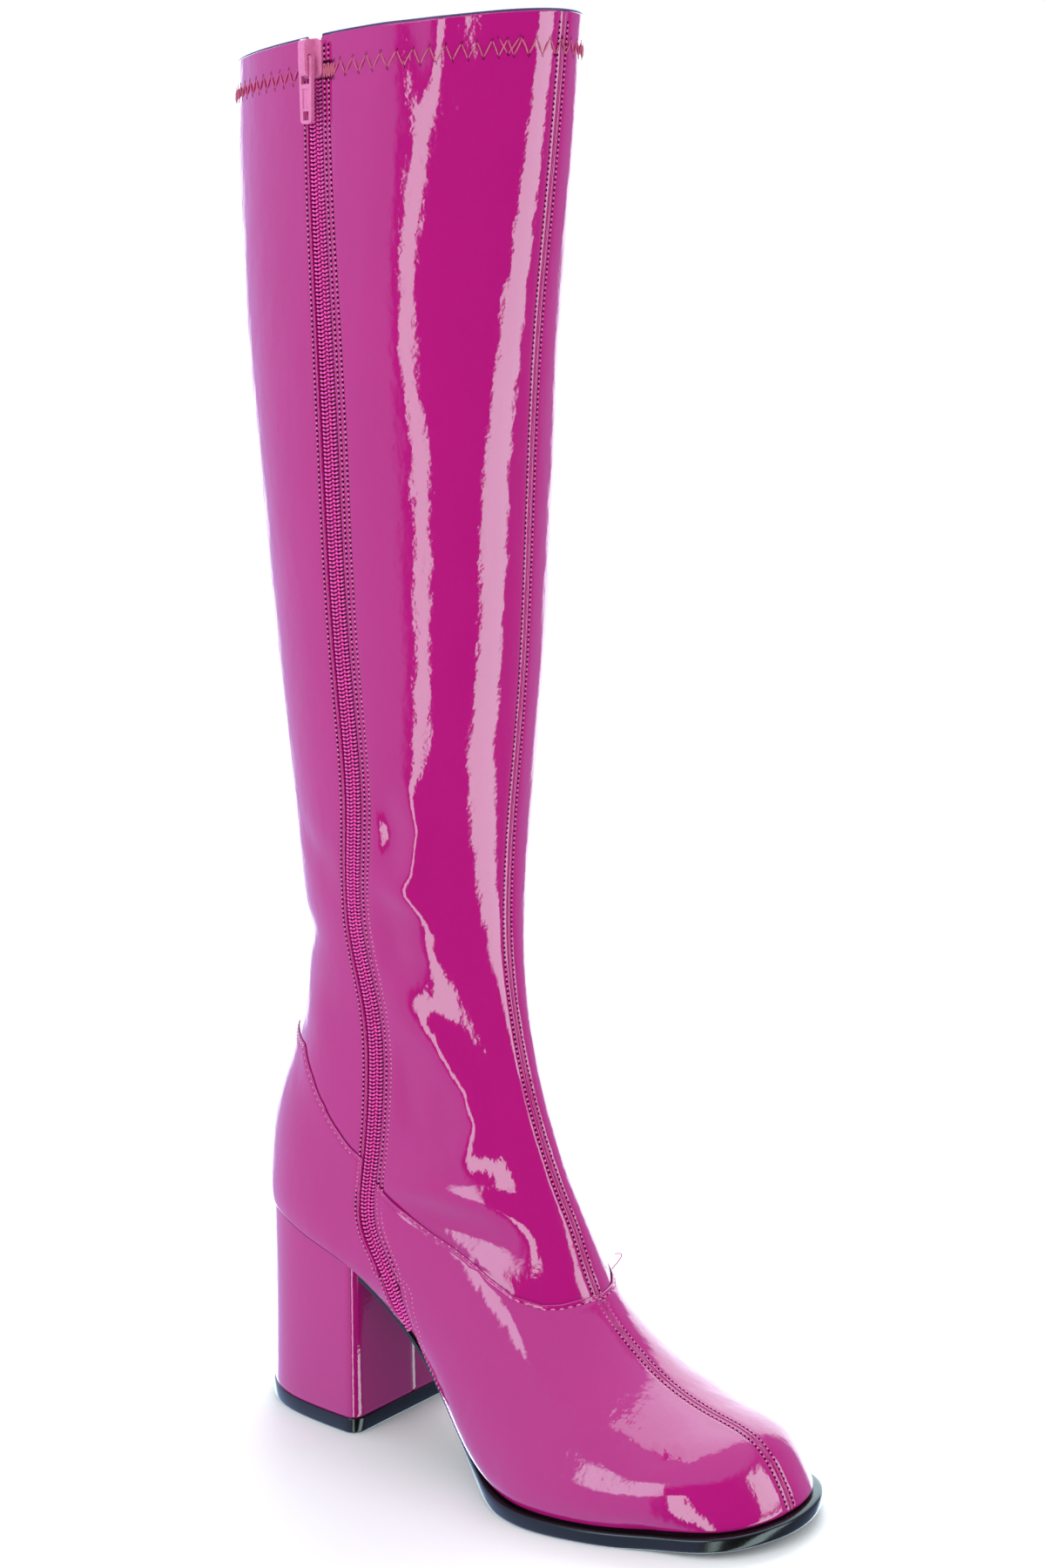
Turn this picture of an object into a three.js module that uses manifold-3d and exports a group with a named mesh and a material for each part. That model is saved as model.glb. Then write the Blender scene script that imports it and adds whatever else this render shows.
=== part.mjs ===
// A go go boot: the left one, knee high, in stretch patent, with a covered block heel and a zip
// all the way down its inner side.
//
// Millimetres, +Z up. The toe points towards -Y, and the inner side, with the zip, towards -X.
// The origin is on the floor, under the middle of the heel.

import * as THREE from "three";
import Module from "manifold-3d";
import { mergeVertices } from "three/addons/utils/BufferGeometryUtils.js";

const wasm = await Module();
wasm.setup();

// Sizes of the foot.
const FOOT_LENGTH = 218; // back of the counter to the tip of the toe, along the floor
const BALL_WIDTH = 92; // upper's width across the ball
const INSTEP_HEIGHT = 63; // vamp's height above the feather line, in front of the ankle
const HEEL_HEIGHT = 77.5; // floor to the feather line at the back of the heel

// Sizes of the leg.
const SHAFT_HEIGHT = 403; // feather line at the back of the heel to the front of the collar
const CALF_DEPTH = 130; // front to back, at the collar
const CALF_WIDTH = 92;
const ANKLE_DEPTH = 85;
const ANKLE_WIDTH = 66;
const LEG_PLACE = 0.264; // leg's axis, as a share of the foot's length from the back

// Walls, sole and heel.
const WALL = 1.8; // stretch patent with its lining
const INSOLE_THICKNESS = 2.6;
const SOLE_THICKNESS = 4.9; // under the ball
const SOLE_LEDGE = 2.7; // how far the sole stands out round the forefoot
const HEEL_LENGTH = 53.5; // breast to back, at the floor
const HEEL_OVERHANG = 2.6; // how far the counter bulges behind the heel
const HEEL_CORNER = 5; // radius of the heel's two front corners
const HEEL_FLARE = 0.5; // how much wider the heel is on its top lift than at half its height
const HEEL_SET_IN = 0.8; // how far the heel stands back under the upper's edge
const LIFT_HEIGHT = 5.6;
const LIFT_PROUD = 0.4;
const LIFT_BEVEL = 0.8;

// The zip.
const SLOT_WIDTH = 6.6; // between the upper's two folded edges
const COIL_WIDTH = 2.5; // each of the two rows of coil
const TAPE_WIDTH = 13; // each tape, from the zip's middle
const TAPE_THICKNESS = 0.9;
const COIL_DEPTH = 0.2; // coil's face below the upper's
const SLIDER_PLACE = 0.13; // slider's middle, in sections below the collar
const SLIDER_WIDTH = 8.4;
const SLIDER_LENGTH = 12;
const SLIDER_THICKNESS = 1.5;
const CROWN_LENGTH = 11.5; // the slider's crown, which the pull hangs on
const CROWN_THICKNESS = 2.8;
const CROWN_HEIGHT = 4.6;
const PULL_WIDTH = 5.6; // at its eye, round the crown
const PULL_TIP_WIDTH = 4.6;
const PULL_LENGTH = 21;
const PULL_CORNER = 1.4;
const PULL_THICKNESS = 1.5;
const PULL_ARM = 1.1; // metal left beside the pull's eye and its window
const PULL_WINDOW = 2.8; // length of the small window at the tip
const PULL_PANEL = 6.2; // length of the sunk panel above the window
const PULL_PANEL_DEPTH = 0.35;
const PULL_RIB = 0.7; // between panel and window

const GAP = 0.3; // between pieces that meet
const ZIP_SPLIT = 0.4; // between the zip's two halves
const TAPE_PLAY = 0.1; // more room for the tapes, which bend with the wall
const ROUND_POINTS = 28; // points round a section
const SECTION_STEPS = 2; // rings from one section to the next
const EDGE_POINTS = 22; // points along each side of the sole
const CORNER_POINTS = 4;
const ZIP_END = 5.5; // sections of the foot that the zip crosses
const BLADE_REACH = 3; // how far the zip's cutting blades stand out of the wall

// The line where upper and sole meet, and the sole under it, at even steps from the back of the
// heel to the tip of the toe. rise is a share of the heel's lift, and thick one of the sole's
// full thickness. ledge is a share of the sole's full ledge.
const SOLE_TABLE = [
  { rise: 1.0, thick: 0.45, ledge: -0.3 },
  { rise: 0.932, thick: 0.45, ledge: -0.3 },
  { rise: 0.857, thick: 0.45, ledge: -0.3 },
  { rise: 0.777, thick: 0.45, ledge: -0.3 },
  { rise: 0.614, thick: 0.45, ledge: -0.3 },
  { rise: 0.381, thick: 0.5, ledge: -0.2 },
  { rise: 0.12, thick: 0.7, ledge: 0.2 },
  { rise: 0.012, thick: 1.0, ledge: 1.25 },
  { rise: 0.0, thick: 1.12, ledge: 1.25 },
  { rise: 0.0, thick: 1.12, ledge: 1.0 },
  { rise: 0.006, thick: 1.04, ledge: 1.0 },
  { rise: 0.022, thick: 1.0, ledge: 1.0 },
  { rise: 0.05, thick: 0.98, ledge: 1.0 },
];

// Sections of the leg, from the collar down. Each is a tilted oval. front and back are heights
// above the seat, as shares of the shaft's height. depth and width run from 0 at the ankle to 1
// at the calf. ahead is the share of the depth in front of the leg's axis. zip says where the
// zip crosses, as a share of the way from back to front.
const SHAFT_TABLE = [
  { front: 1.0, back: 0.964, depth: 1.0, ahead: 0.5, width: 0.68, zip: 0.485 },
  { front: 0.875, back: 0.851, depth: 0.861, ahead: 0.483, width: 0.84, zip: 0.522 },
  { front: 0.753, back: 0.74, depth: 0.63, ahead: 0.477, width: 1.0, zip: 0.56 },
  { front: 0.62, back: 0.615, depth: 0.428, ahead: 0.486, width: 0.96, zip: 0.565 },
  { front: 0.485, back: 0.485, depth: 0.25, ahead: 0.498, width: 0.72, zip: 0.565 },
  { front: 0.371, back: 0.371, depth: 0.063, ahead: 0.503, width: 0.44, zip: 0.57 },
  { front: 0.277, back: 0.267, depth: 0.0, ahead: 0.505, width: 0.0, zip: 0.512 },
];

// Sections of the foot, from above the heel to under the toe. Each hangs between a point on the
// front seam and one at the back or underneath. along is a share of the foot's length from the
// back, rise a share of the instep's height above the feather line, width and shift are shares
// of the ball's width. middle says where a section is widest, from back to front, and square
// how flat its back or underside is: 2 is an ellipse.
const FOOT_TABLE = [
  {
    front: { along: 0.474, rise: 2.25 }, back: { along: 0.065, rise: 1.173 },
    width: 0.648, middle: 0.45, square: 2.0, shift: 0.0, zip: 0.55,
  },
  {
    front: { along: 0.502, rise: 1.914 }, back: { along: 0.01, rise: 0.555 },
    width: 0.67, middle: 0.4, square: 2.1, shift: 0.0, zip: 0.58,
  },
  {
    front: { along: 0.536, rise: 1.636 }, back: { along: 0.0, rise: 0.147 },
    width: 0.705, middle: 0.36, square: 2.3, shift: 0.0, zip: 0.542,
  },
  {
    front: { along: 0.567, rise: 1.414 }, back: { along: 0.029, rise: -0.161 },
    width: 0.716, middle: 0.34, square: 2.5, shift: 0.0, zip: 0.483,
  },
  {
    front: { along: 0.596, rise: 1.206 }, back: { along: 0.183, rise: -0.207 },
    width: 0.716, middle: 0.36, square: 2.6, shift: 0.0, zip: 0.36,
  },
  {
    front: { along: 0.628, rise: 0.955 }, back: { along: 0.351, rise: -0.191 },
    width: 0.75, middle: 0.4, square: 2.6, shift: -0.011, zip: 0.14,
  },
  {
    front: { along: 0.673, rise: 0.779 }, back: { along: 0.495, rise: -0.088 },
    width: 0.88, middle: 0.34, square: 3.0, shift: -0.034, zip: 0.0,
  },
  {
    front: { along: 0.745, rise: 0.597 }, back: { along: 0.615, rise: -0.083 },
    width: 1.0, middle: 0.32, square: 3.2, shift: -0.042, zip: 0.0,
  },
  {
    front: { along: 0.851, rise: 0.453 }, back: { along: 0.702, rise: -0.136 },
    width: 0.955, middle: 0.36, square: 3.0, shift: -0.032, zip: 0.0,
  },
  {
    front: { along: 0.938, rise: 0.341 }, back: { along: 0.76, rise: -0.17 },
    width: 0.835, middle: 0.42, square: 3.2, shift: -0.018, zip: 0.0,
  },
  {
    front: { along: 0.99, rise: 0.095 }, back: { along: 0.798, rise: -0.189 },
    width: 0.69, middle: 0.48, square: 3.0, shift: -0.005, zip: 0.0,
  },
  {
    front: { along: 0.995, rise: -0.091 }, back: { along: 0.817, rise: -0.208 },
    width: 0.62, middle: 0.5, square: 2.4, shift: 0.0, zip: 0.0,
  },
  {
    front: { along: 0.928, rise: -0.222 }, back: { along: 0.856, rise: -0.214 },
    width: 0.25, middle: 0.5, square: 2.0, shift: 0.0, zip: 0.0,
  },
];

// Places that follow from the sizes.
const BACK_Y = HEEL_LENGTH / 2 + HEEL_OVERHANG;
const BREAST_Y = -HEEL_LENGTH / 2;
const SOLE_END_Y = BREAST_Y - GAP;
const LEG_Y = BACK_Y - LEG_PLACE * FOOT_LENGTH;
const TREAD_HEIGHT = SOLE_THICKNESS + GAP;
const FIRST_FOOT = SHAFT_TABLE.length;
const LAST_PLACE = SHAFT_TABLE.length + FOOT_TABLE.length - 1;

// A natural cubic spline through values that stand at 0, 1, 2 and so on.
function smoothCurve(values) {
  const last = values.length - 1;
  const bends = new Array(values.length).fill(0);
  const ratios = [0];
  const parts = [0];
  for (let i = 1; i < last; i += 1) {
    const pull = 6 * (values[i + 1] - 2 * values[i] + values[i - 1]);
    ratios[i] = 1 / (4 - ratios[i - 1]);
    parts[i] = (pull - parts[i - 1]) * ratios[i];
  }
  for (let i = last - 1; i > 0; i -= 1) {
    bends[i] = parts[i] - ratios[i] * bends[i + 1];
  }
  return (place) => {
    const i = Math.min(Math.max(Math.floor(place), 0), last - 1);
    const b = place - i;
    const a = 1 - b;
    const bow = ((a ** 3 - a) * bends[i] + (b ** 3 - b) * bends[i + 1]) / 6;
    return a * values[i] + b * values[i + 1] + bow;
  };
}

const mix = (from, to, share) => from + (to - from) * share;

// The feather line and the sole's underside, as heights above the floor.
const soleCurves = {
  rise: smoothCurve(SOLE_TABLE.map((row) => row.rise)),
  thick: smoothCurve(SOLE_TABLE.map((row) => row.thick)),
  ledge: smoothCurve(SOLE_TABLE.map((row) => row.ledge)),
};

function soleValue(column, y) {
  const along = THREE.MathUtils.clamp((BACK_Y - y) / FOOT_LENGTH, 0, 1);
  return soleCurves[column](along * (SOLE_TABLE.length - 1));
}

const featherHeight = (y) => mix(TREAD_HEIGHT, HEEL_HEIGHT, soleValue("rise", y));

function soleBottom(y) {
  return Math.max(0, featherHeight(y) - GAP - SOLE_THICKNESS * soleValue("thick", y));
}

// One section's real sizes, from its row.
function shaftSection(row) {
  const depth = mix(ANKLE_DEPTH, CALF_DEPTH, row.depth);
  return {
    frontY: LEG_Y - depth * row.ahead,
    frontZ: HEEL_HEIGHT + SHAFT_HEIGHT * row.front,
    backY: LEG_Y + depth * (1 - row.ahead),
    backZ: HEEL_HEIGHT + SHAFT_HEIGHT * row.back,
    half: mix(ANKLE_WIDTH, CALF_WIDTH, row.width) / 2,
    middle: 0.5,
    square: 2,
    shift: 0,
    zip: row.zip,
  };
}

function footSection(row) {
  const frontY = BACK_Y - FOOT_LENGTH * row.front.along;
  const backY = BACK_Y - FOOT_LENGTH * row.back.along;
  return {
    frontY,
    frontZ: featherHeight(frontY) + INSTEP_HEIGHT * row.front.rise,
    backY,
    backZ: featherHeight(backY) + INSTEP_HEIGHT * row.back.rise,
    half: (BALL_WIDTH * row.width) / 2,
    middle: row.middle,
    square: row.square,
    shift: BALL_WIDTH * row.shift,
    zip: row.zip,
  };
}

const sections = [...SHAFT_TABLE.map(shaftSection), ...FOOT_TABLE.map(footSection)];
const sectionCurves = Object.fromEntries(
  Object.keys(sections[0]).map((key) => [key, smoothCurve(sections.map((row) => row[key]))]),
);

// The section at a place, where 0 is the collar and each whole number is the next row.
function sectionAt(place) {
  return Object.fromEntries(
    Object.entries(sectionCurves).map(([key, curve]) => [key, curve(place)]),
  );
}

// A point of a section. The angle is 0 at the back, a right angle on the outer side and half a
// turn at the front seam. inset moves the point inwards, so an inset of WALL is the lining.
function sectionPoint(section, angle, inset = 0) {
  const back = new THREE.Vector3(section.shift, section.backY, section.backZ);
  const front = new THREE.Vector3(section.shift, section.frontY, section.frontZ);
  const inwards = front.clone().sub(back).setLength(inset);
  back.add(inwards);
  front.sub(inwards);
  const along = Math.cos(angle);
  const aside = Math.sin(angle);
  const power = 2 / (along > 0 ? section.square : 2);
  const reach = Math.sign(along) * Math.abs(along) ** power;
  const room = along > 0 ? section.middle : 1 - section.middle;
  const point = back.lerp(front, section.middle - room * reach);
  point.x += Math.sign(aside) * Math.abs(aside) ** power * (section.half - inset);
  return point;
}

// Loft through rings of points. Rings go from the top down, and each goes round clockwise, seen
// from above. The ends are closed with strips between its two sides, from its first point on.
function loft(rings) {
  const count = rings[0].length;
  const indices = [];
  for (let i = 0; i < rings.length - 1; i += 1) {
    for (let j = 0; j < count; j += 1) {
      const a = i * count + j;
      const b = i * count + ((j + 1) % count);
      indices.push(a, b, b + count, a, b + count, a + count);
    }
  }
  const last = (rings.length - 1) * count;
  for (const [a, b, c] of capOf(count)) {
    indices.push(a, b, c, last + a, last + c, last + b);
  }
  const geometry = new THREE.BufferGeometry();
  const positions = rings.flat().flatMap((point) => [point.x, point.y, point.z]);
  geometry.setAttribute("position", new THREE.Float32BufferAttribute(positions, 3));
  geometry.setIndex(indices);
  return geometry;
}

// The triangles that close a ring: strips from one side to the other.
function capOf(count) {
  const triangles = [];
  for (let j = 0; j < (count - 1) / 2; j += 1) {
    const opposite = (count - j) % count;
    if (j > 0) triangles.push([j, opposite, j + 1]);
    if (count - j - 1 !== j + 1) triangles.push([j + 1, opposite, count - j - 1]);
  }
  return triangles;
}

// Between three.js geometry and manifold-3d's solids.
function toSolid(geometry) {
  const bare = geometry.clone();
  bare.deleteAttribute("normal");
  bare.deleteAttribute("uv");
  const merged = mergeVertices(bare, 1e-4);
  return new wasm.Manifold(new wasm.Mesh({
    numProp: 3,
    vertProperties: Float32Array.from(merged.attributes.position.array),
    triVerts: Uint32Array.from(merged.index.array),
  }));
}

function toGeometry(solid) {
  const { vertProperties, triVerts } = solid.getMesh();
  const geometry = new THREE.BufferGeometry();
  geometry.setAttribute("position", new THREE.BufferAttribute(vertProperties, 3));
  geometry.setIndex(new THREE.BufferAttribute(triVerts, 1));
  const flat = geometry.toNonIndexed();
  flat.computeVertexNormals();
  return flat;
}

const lifted = (ring, by) => ring.map((point) => point.clone().setZ(point.z + by));

// The upper's whole closed form, set in from its outer face. proud lengthens it at the collar.
function upperForm(inset, proud = 0) {
  const rings = [];
  for (let step = 0; step <= LAST_PLACE * SECTION_STEPS; step += 1) {
    const section = sectionAt(step / SECTION_STEPS);
    const ring = [];
    for (let j = 0; j < ROUND_POINTS; j += 1) {
      ring.push(sectionPoint(section, (2 * Math.PI * j) / ROUND_POINTS, inset));
    }
    rings.push(ring);
  }
  if (proud > 0) rings.unshift(lifted(rings[0], proud));
  return toSolid(loft(rings));
}

// A plate across the whole boot, between two heights that change along it.
function plateBetween(lower, upper) {
  const reach = FOOT_LENGTH * 0.25;
  const steps = 60;
  const from = BACK_Y - FOOT_LENGTH - reach;
  const line = Array.from({ length: steps + 1 }, (_, i) => mix(from, BACK_Y + reach, i / steps));
  const outline = [
    ...line.map((y) => new THREE.Vector2(y, lower(y))),
    ...line.reverse().map((y) => new THREE.Vector2(y, upper(y))),
  ];
  const depth = BALL_WIDTH * 2;
  const geometry = new THREE.ExtrudeGeometry(new THREE.Shape(outline), {
    depth,
    bevelEnabled: false,
  });
  geometry.translate(0, 0, -depth / 2);
  geometry.applyMatrix4(new THREE.Matrix4().makeBasis(
    new THREE.Vector3(0, 1, 0),
    new THREE.Vector3(0, 0, 1),
    new THREE.Vector3(1, 0, 0),
  ));
  return toSolid(geometry);
}

const underFoot = (raise) => plateBetween(() => -HEEL_HEIGHT, (y) => featherHeight(y) + raise);

// The angle at which the zip's middle line crosses a section, on the inner side.
function zipAngle(section) {
  const share = THREE.MathUtils.clamp(section.zip, 0, 1);
  const ahead = share > section.middle;
  const room = ahead ? 1 - section.middle : section.middle;
  const power = ahead ? 1 : section.square / 2;
  const reach = Math.min(Math.abs(share - section.middle) / room, 1) ** power;
  return -Math.acos(ahead ? -reach : reach);
}

function zipPoint(place) {
  const section = sectionAt(place);
  return sectionPoint(section, zipAngle(section));
}

// The zip's cross directions in a section's own plane: across it towards the front, and out.
function zipFrame(section) {
  const angle = zipAngle(section);
  const turn = 0.02;
  const across = sectionPoint(section, angle - turn).sub(sectionPoint(section, angle + turn));
  across.normalize();
  const chord = new THREE.Vector3(0, section.frontY - section.backY, section.frontZ - section.backZ);
  const normal = new THREE.Vector3(1, 0, 0).cross(chord).normalize();
  const out = new THREE.Vector3().crossVectors(normal, across);
  return { point: sectionPoint(section, angle), across, out };
}

// A blade that follows the zip through the wall, between two distances from its middle line.
function zipBlade(from, to) {
  const lastStep = Math.floor((FIRST_FOOT + ZIP_END) * SECTION_STEPS);
  const rings = [];
  for (let step = 0; step <= lastStep; step += 1) {
    const { point, across, out } = zipFrame(sectionAt(step / SECTION_STEPS));
    const corner = (aside, outwards) => point.clone()
      .addScaledVector(across, aside)
      .addScaledVector(out, outwards);
    rings.push([
      corner(from, BLADE_REACH),
      corner(from, -2 * BLADE_REACH),
      corner(to, -2 * BLADE_REACH),
      corner(to, BLADE_REACH),
    ]);
  }
  rings.unshift(lifted(rings[0], BLADE_REACH));
  return toSolid(loft(rings));
}

// A skin between two insets, cut to a strip on one side of the zip's middle line.
function zipHalf(outerInset, innerInset, width, side) {
  const skin = upperForm(outerInset).subtract(upperForm(innerInset, GAP));
  const blade = side > 0 ? zipBlade(ZIP_SPLIT / 2, width) : zipBlade(-width, -ZIP_SPLIT / 2);
  return skin.intersect(blade);
}

function makeUpper() {
  const skin = upperForm(0).subtract(upperForm(WALL, WALL));
  return skin.subtract(zipBlade(-SLOT_WIDTH / 2, SLOT_WIDTH / 2)).subtract(underFoot(0));
}

function makeInsole() {
  const plate = plateBetween(featherHeight, (y) => featherHeight(y) + INSOLE_THICKNESS);
  return upperForm(WALL + GAP).intersect(plate);
}

// Where a test that holds at the first value stops holding, on the way to the second.
function findEnd(holds, first, second) {
  let [from, to] = [first, second];
  for (let i = 0; i < 40; i += 1) {
    const middle = (from + to) / 2;
    if (holds(middle)) from = middle;
    else to = middle;
  }
  return (from + to) / 2;
}

// The edge where the upper meets the feather line: for each step from heel to toe, the points
// on the outer side and on the inner side.
function featherEdge() {
  const isAbove = (place, angle) => {
    const point = sectionPoint(sectionAt(place), angle);
    return point.z > featherHeight(point.y);
  };
  const start = findEnd((place) => isAbove(place, 0), FIRST_FOOT - 1, FIRST_FOOT + 4);
  const end = findEnd((place) => isAbove(place, Math.PI), FIRST_FOOT + 7, LAST_PLACE);
  const steps = EDGE_POINTS * 6;
  const edge = [];
  for (let i = 0; i <= steps; i += 1) {
    const place = mix(start, end, (1 - Math.cos((Math.PI * i) / steps)) / 2);
    const angle = findEnd((turn) => !isAbove(place, turn), 0, Math.PI);
    edge.push({
      outer: sectionPoint(sectionAt(place), angle),
      inner: sectionPoint(sectionAt(place), -angle),
    });
  }
  return edge;
}

const edge = featherEdge();

// The two sides of the feather edge at a place along the boot.
function edgeAt(y) {
  const found = edge.findIndex((pair) => pair.outer.y <= y);
  const i = found < 0 ? edge.length - 1 : Math.max(found, 1);
  const share = (edge[i - 1].outer.y - y) / (edge[i - 1].outer.y - edge[i].outer.y);
  return {
    outer: mix(edge[i - 1].outer.x, edge[i].outer.x, THREE.MathUtils.clamp(share, 0, 1)),
    inner: mix(edge[i - 1].inner.x, edge[i].inner.x, THREE.MathUtils.clamp(share, 0, 1)),
  };
}

// The outline moved outwards, by a distance that may change along the boot.
function grown(outline, distance) {
  return outline.map((point, i) => {
    const before = outline[(i + outline.length - 1) % outline.length];
    const after = outline[(i + 1) % outline.length];
    const way = after.clone().sub(before).normalize();
    const by = distance(point.y);
    return new THREE.Vector2(point.x - way.y * by, point.y + way.x * by);
  });
}

// The outsole, from the heel's breast to the toe: its edge from the ledge down to the tread.
const SOLE_EDGE = [
  { out: -1.2, down: -0.2 },
  { out: 0.75, down: 0 },
  { out: 0.97, down: 0.22 },
  { out: 1.0, down: 0.55 },
  { out: 0.95, down: 0.85 },
  { out: 0.72, down: 1 },
];

// The sole's outline without its ledge: the tip, the inner side and the outer side.
function soleOutline() {
  const tip = edge[edge.length - 1].outer;
  const places = Array.from({ length: EDGE_POINTS }, (_, i) => {
    const share = Math.cos((Math.PI / 2) * ((i + 0.5) / EDGE_POINTS));
    return mix(SOLE_END_Y, tip.y, i < EDGE_POINTS - 1 ? share : 0);
  });
  const inner = places.map((y) => new THREE.Vector2(edgeAt(y).inner, y));
  const outer = places.map((y) => new THREE.Vector2(edgeAt(y).outer, y));
  return [new THREE.Vector2(tip.x, tip.y), ...inner, ...outer.reverse()];
}

function makeOutsole() {
  const outline = soleOutline();
  const rings = SOLE_EDGE.map(({ out, down }) => {
    const ring = grown(outline, (y) => SOLE_LEDGE * (soleValue("ledge", y) + out - 1));
    return ring.map((point, i) => {
      const atBreast = outline[i].y === SOLE_END_Y;
      const y = atBreast ? SOLE_END_Y : Math.min(point.y, SOLE_END_Y);
      const top = featherHeight(y) - GAP;
      return new THREE.Vector3(point.x, y, mix(top, soleBottom(y), down));
    });
  });
  return toSolid(loft(rings)).intersect(underFoot(-GAP));
}

// The heel's outline, under the upper's seat: two sides, and two round corners at the breast.
function heelOutline() {
  const seat = edge[0].outer;
  const sideEnd = BREAST_Y + HEEL_CORNER;
  const sides = Array.from({ length: 12 }, (_, i) => {
    const share = 1 - Math.cos((Math.PI / 2) * ((i + 1) / 12));
    return mix(seat.y, sideEnd, share);
  });
  const { outer, inner } = edgeAt(sideEnd);
  const corners = Array.from({ length: CORNER_POINTS }, (_, i) => {
    const turn = ((Math.PI / 2) * (i + 1)) / CORNER_POINTS;
    return {
      back: HEEL_CORNER * (1 - Math.cos(turn)),
      down: HEEL_CORNER * Math.sin(turn),
    };
  });
  const outerSide = sides.map((y) => new THREE.Vector2(edgeAt(y).outer, y));
  const innerSide = sides.map((y) => new THREE.Vector2(edgeAt(y).inner, y));
  for (const corner of corners) {
    outerSide.push(new THREE.Vector2(outer - corner.back, sideEnd - corner.down));
    innerSide.push(new THREE.Vector2(inner + corner.back, sideEnd - corner.down));
  }
  const back = new THREE.Vector2(seat.x, seat.y);
  return [back, ...outerSide, ...innerSide.reverse()];
}

function makeHeel() {
  const outline = heelOutline();
  const levels = [
    { height: 1.1, wider: -HEEL_SET_IN },
    { height: 0.55, wider: -HEEL_SET_IN },
    { height: 0.2, wider: HEEL_FLARE * 0.35 - HEEL_SET_IN },
    { height: 0, wider: HEEL_FLARE - HEEL_SET_IN },
  ];
  const rings = levels.map(({ height, wider }) => grown(outline, () => wider).map((point) => {
    const top = featherHeight(point.y) - GAP;
    return new THREE.Vector3(point.x, point.y, mix(LIFT_HEIGHT, top, height));
  }));
  return toSolid(loft(rings)).intersect(underFoot(-GAP));
}

function makeTopLift() {
  const outline = heelOutline();
  const liftWider = HEEL_FLARE + LIFT_PROUD - HEEL_SET_IN;
  const levels = [
    { z: LIFT_HEIGHT, wider: liftWider },
    { z: LIFT_BEVEL, wider: liftWider },
    { z: 0, wider: liftWider - LIFT_BEVEL },
  ];
  return toSolid(loft(levels.map(({ z, wider }) => grown(outline, () => wider)
    .map((point) => new THREE.Vector3(point.x, point.y, z)))));
}

function makeTape(side) {
  const inset = WALL + GAP + TAPE_PLAY;
  return zipHalf(inset, inset + TAPE_THICKNESS, TAPE_WIDTH, side)
    .subtract(underFoot(INSOLE_THICKNESS + GAP));
}

function makeCoil(side) {
  return zipHalf(COIL_DEPTH, WALL, COIL_WIDTH, side).subtract(underFoot(GAP));
}

// The slider and its pull stand in a frame on the zip: x across it, y up along it, z out of it.
function sliderMatrix() {
  const { point, out } = zipFrame(sectionAt(SLIDER_PLACE));
  const up = zipPoint(0).sub(zipPoint(SLIDER_PLACE * 2)).normalize();
  const level = out.addScaledVector(up, -out.dot(up)).normalize();
  const across = new THREE.Vector3().crossVectors(up, level);
  return new THREE.Matrix4().makeBasis(across, up, level).setPosition(point);
}

function roundedShape(width, length, radius) {
  const shape = new THREE.Shape();
  const [x, y] = [width / 2, length / 2];
  shape.absarc(x - radius, y - radius, radius, 0, Math.PI / 2);
  shape.absarc(radius - x, y - radius, radius, Math.PI / 2, Math.PI);
  shape.absarc(radius - x, radius - y, radius, Math.PI, Math.PI * 1.5);
  shape.absarc(x - radius, radius - y, radius, Math.PI * 1.5, Math.PI * 2);
  return shape;
}

function rodAcross(radius, length, y, z) {
  const rod = new THREE.CylinderGeometry(radius, radius, length, 12);
  rod.rotateZ(Math.PI / 2);
  rod.translate(0, y, z);
  return toSolid(rod);
}

function block(width, length, height, x, y, z) {
  const box = new THREE.BoxGeometry(width, length, height);
  box.translate(x, y, z);
  return toSolid(box);
}

const PLATE_TOP = GAP + SLIDER_THICKNESS;
const PIVOT_HEIGHT = PLATE_TOP + CROWN_HEIGHT / 2;

function makeSlider() {
  const plate = new THREE.ExtrudeGeometry(roundedShape(SLIDER_WIDTH, SLIDER_LENGTH, 2.2), {
    depth: SLIDER_THICKNESS,
    bevelEnabled: false,
    curveSegments: 4,
  });
  plate.translate(0, 0, GAP);
  const arch = new THREE.ExtrudeGeometry(roundedShape(CROWN_LENGTH, CROWN_HEIGHT * 2, 2), {
    depth: CROWN_THICKNESS,
    bevelEnabled: false,
    curveSegments: 4,
  });
  arch.translate(0, 0, -CROWN_THICKNESS / 2);
  arch.applyMatrix4(new THREE.Matrix4().makeBasis(
    new THREE.Vector3(0, 1, 0),
    new THREE.Vector3(0, 0, 1),
    new THREE.Vector3(1, 0, 0),
  ));
  arch.translate(0, 0, PLATE_TOP);
  const below = block(
    SLIDER_WIDTH, CROWN_LENGTH * 2, CROWN_HEIGHT * 2, 0, 0, PLATE_TOP - 0.4 - CROWN_HEIGHT,
  );
  const eye = rodAcross(PULL_THICKNESS / 2 + GAP, CROWN_THICKNESS * 2, 0, PIVOT_HEIGHT);
  return toSolid(arch).subtract(below).subtract(eye).add(toSolid(plate));
}

// The pull's outline, widest at its eye. Its bar lies at y = 0.
function pullShape() {
  const shape = new THREE.Shape();
  const [eyeSide, tipSide] = [PULL_WIDTH / 2 - PULL_CORNER, PULL_TIP_WIDTH / 2 - PULL_CORNER];
  const top = PULL_THICKNESS / 2 - PULL_CORNER;
  const tip = PULL_THICKNESS / 2 - PULL_LENGTH + PULL_CORNER;
  shape.absarc(eyeSide, top, PULL_CORNER, 0, Math.PI / 2);
  shape.absarc(-eyeSide, top, PULL_CORNER, Math.PI / 2, Math.PI);
  shape.absarc(-tipSide, tip, PULL_CORNER, Math.PI, Math.PI * 1.5);
  shape.absarc(tipSide, tip, PULL_CORNER, Math.PI * 1.5, Math.PI * 2);
  return shape;
}

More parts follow.
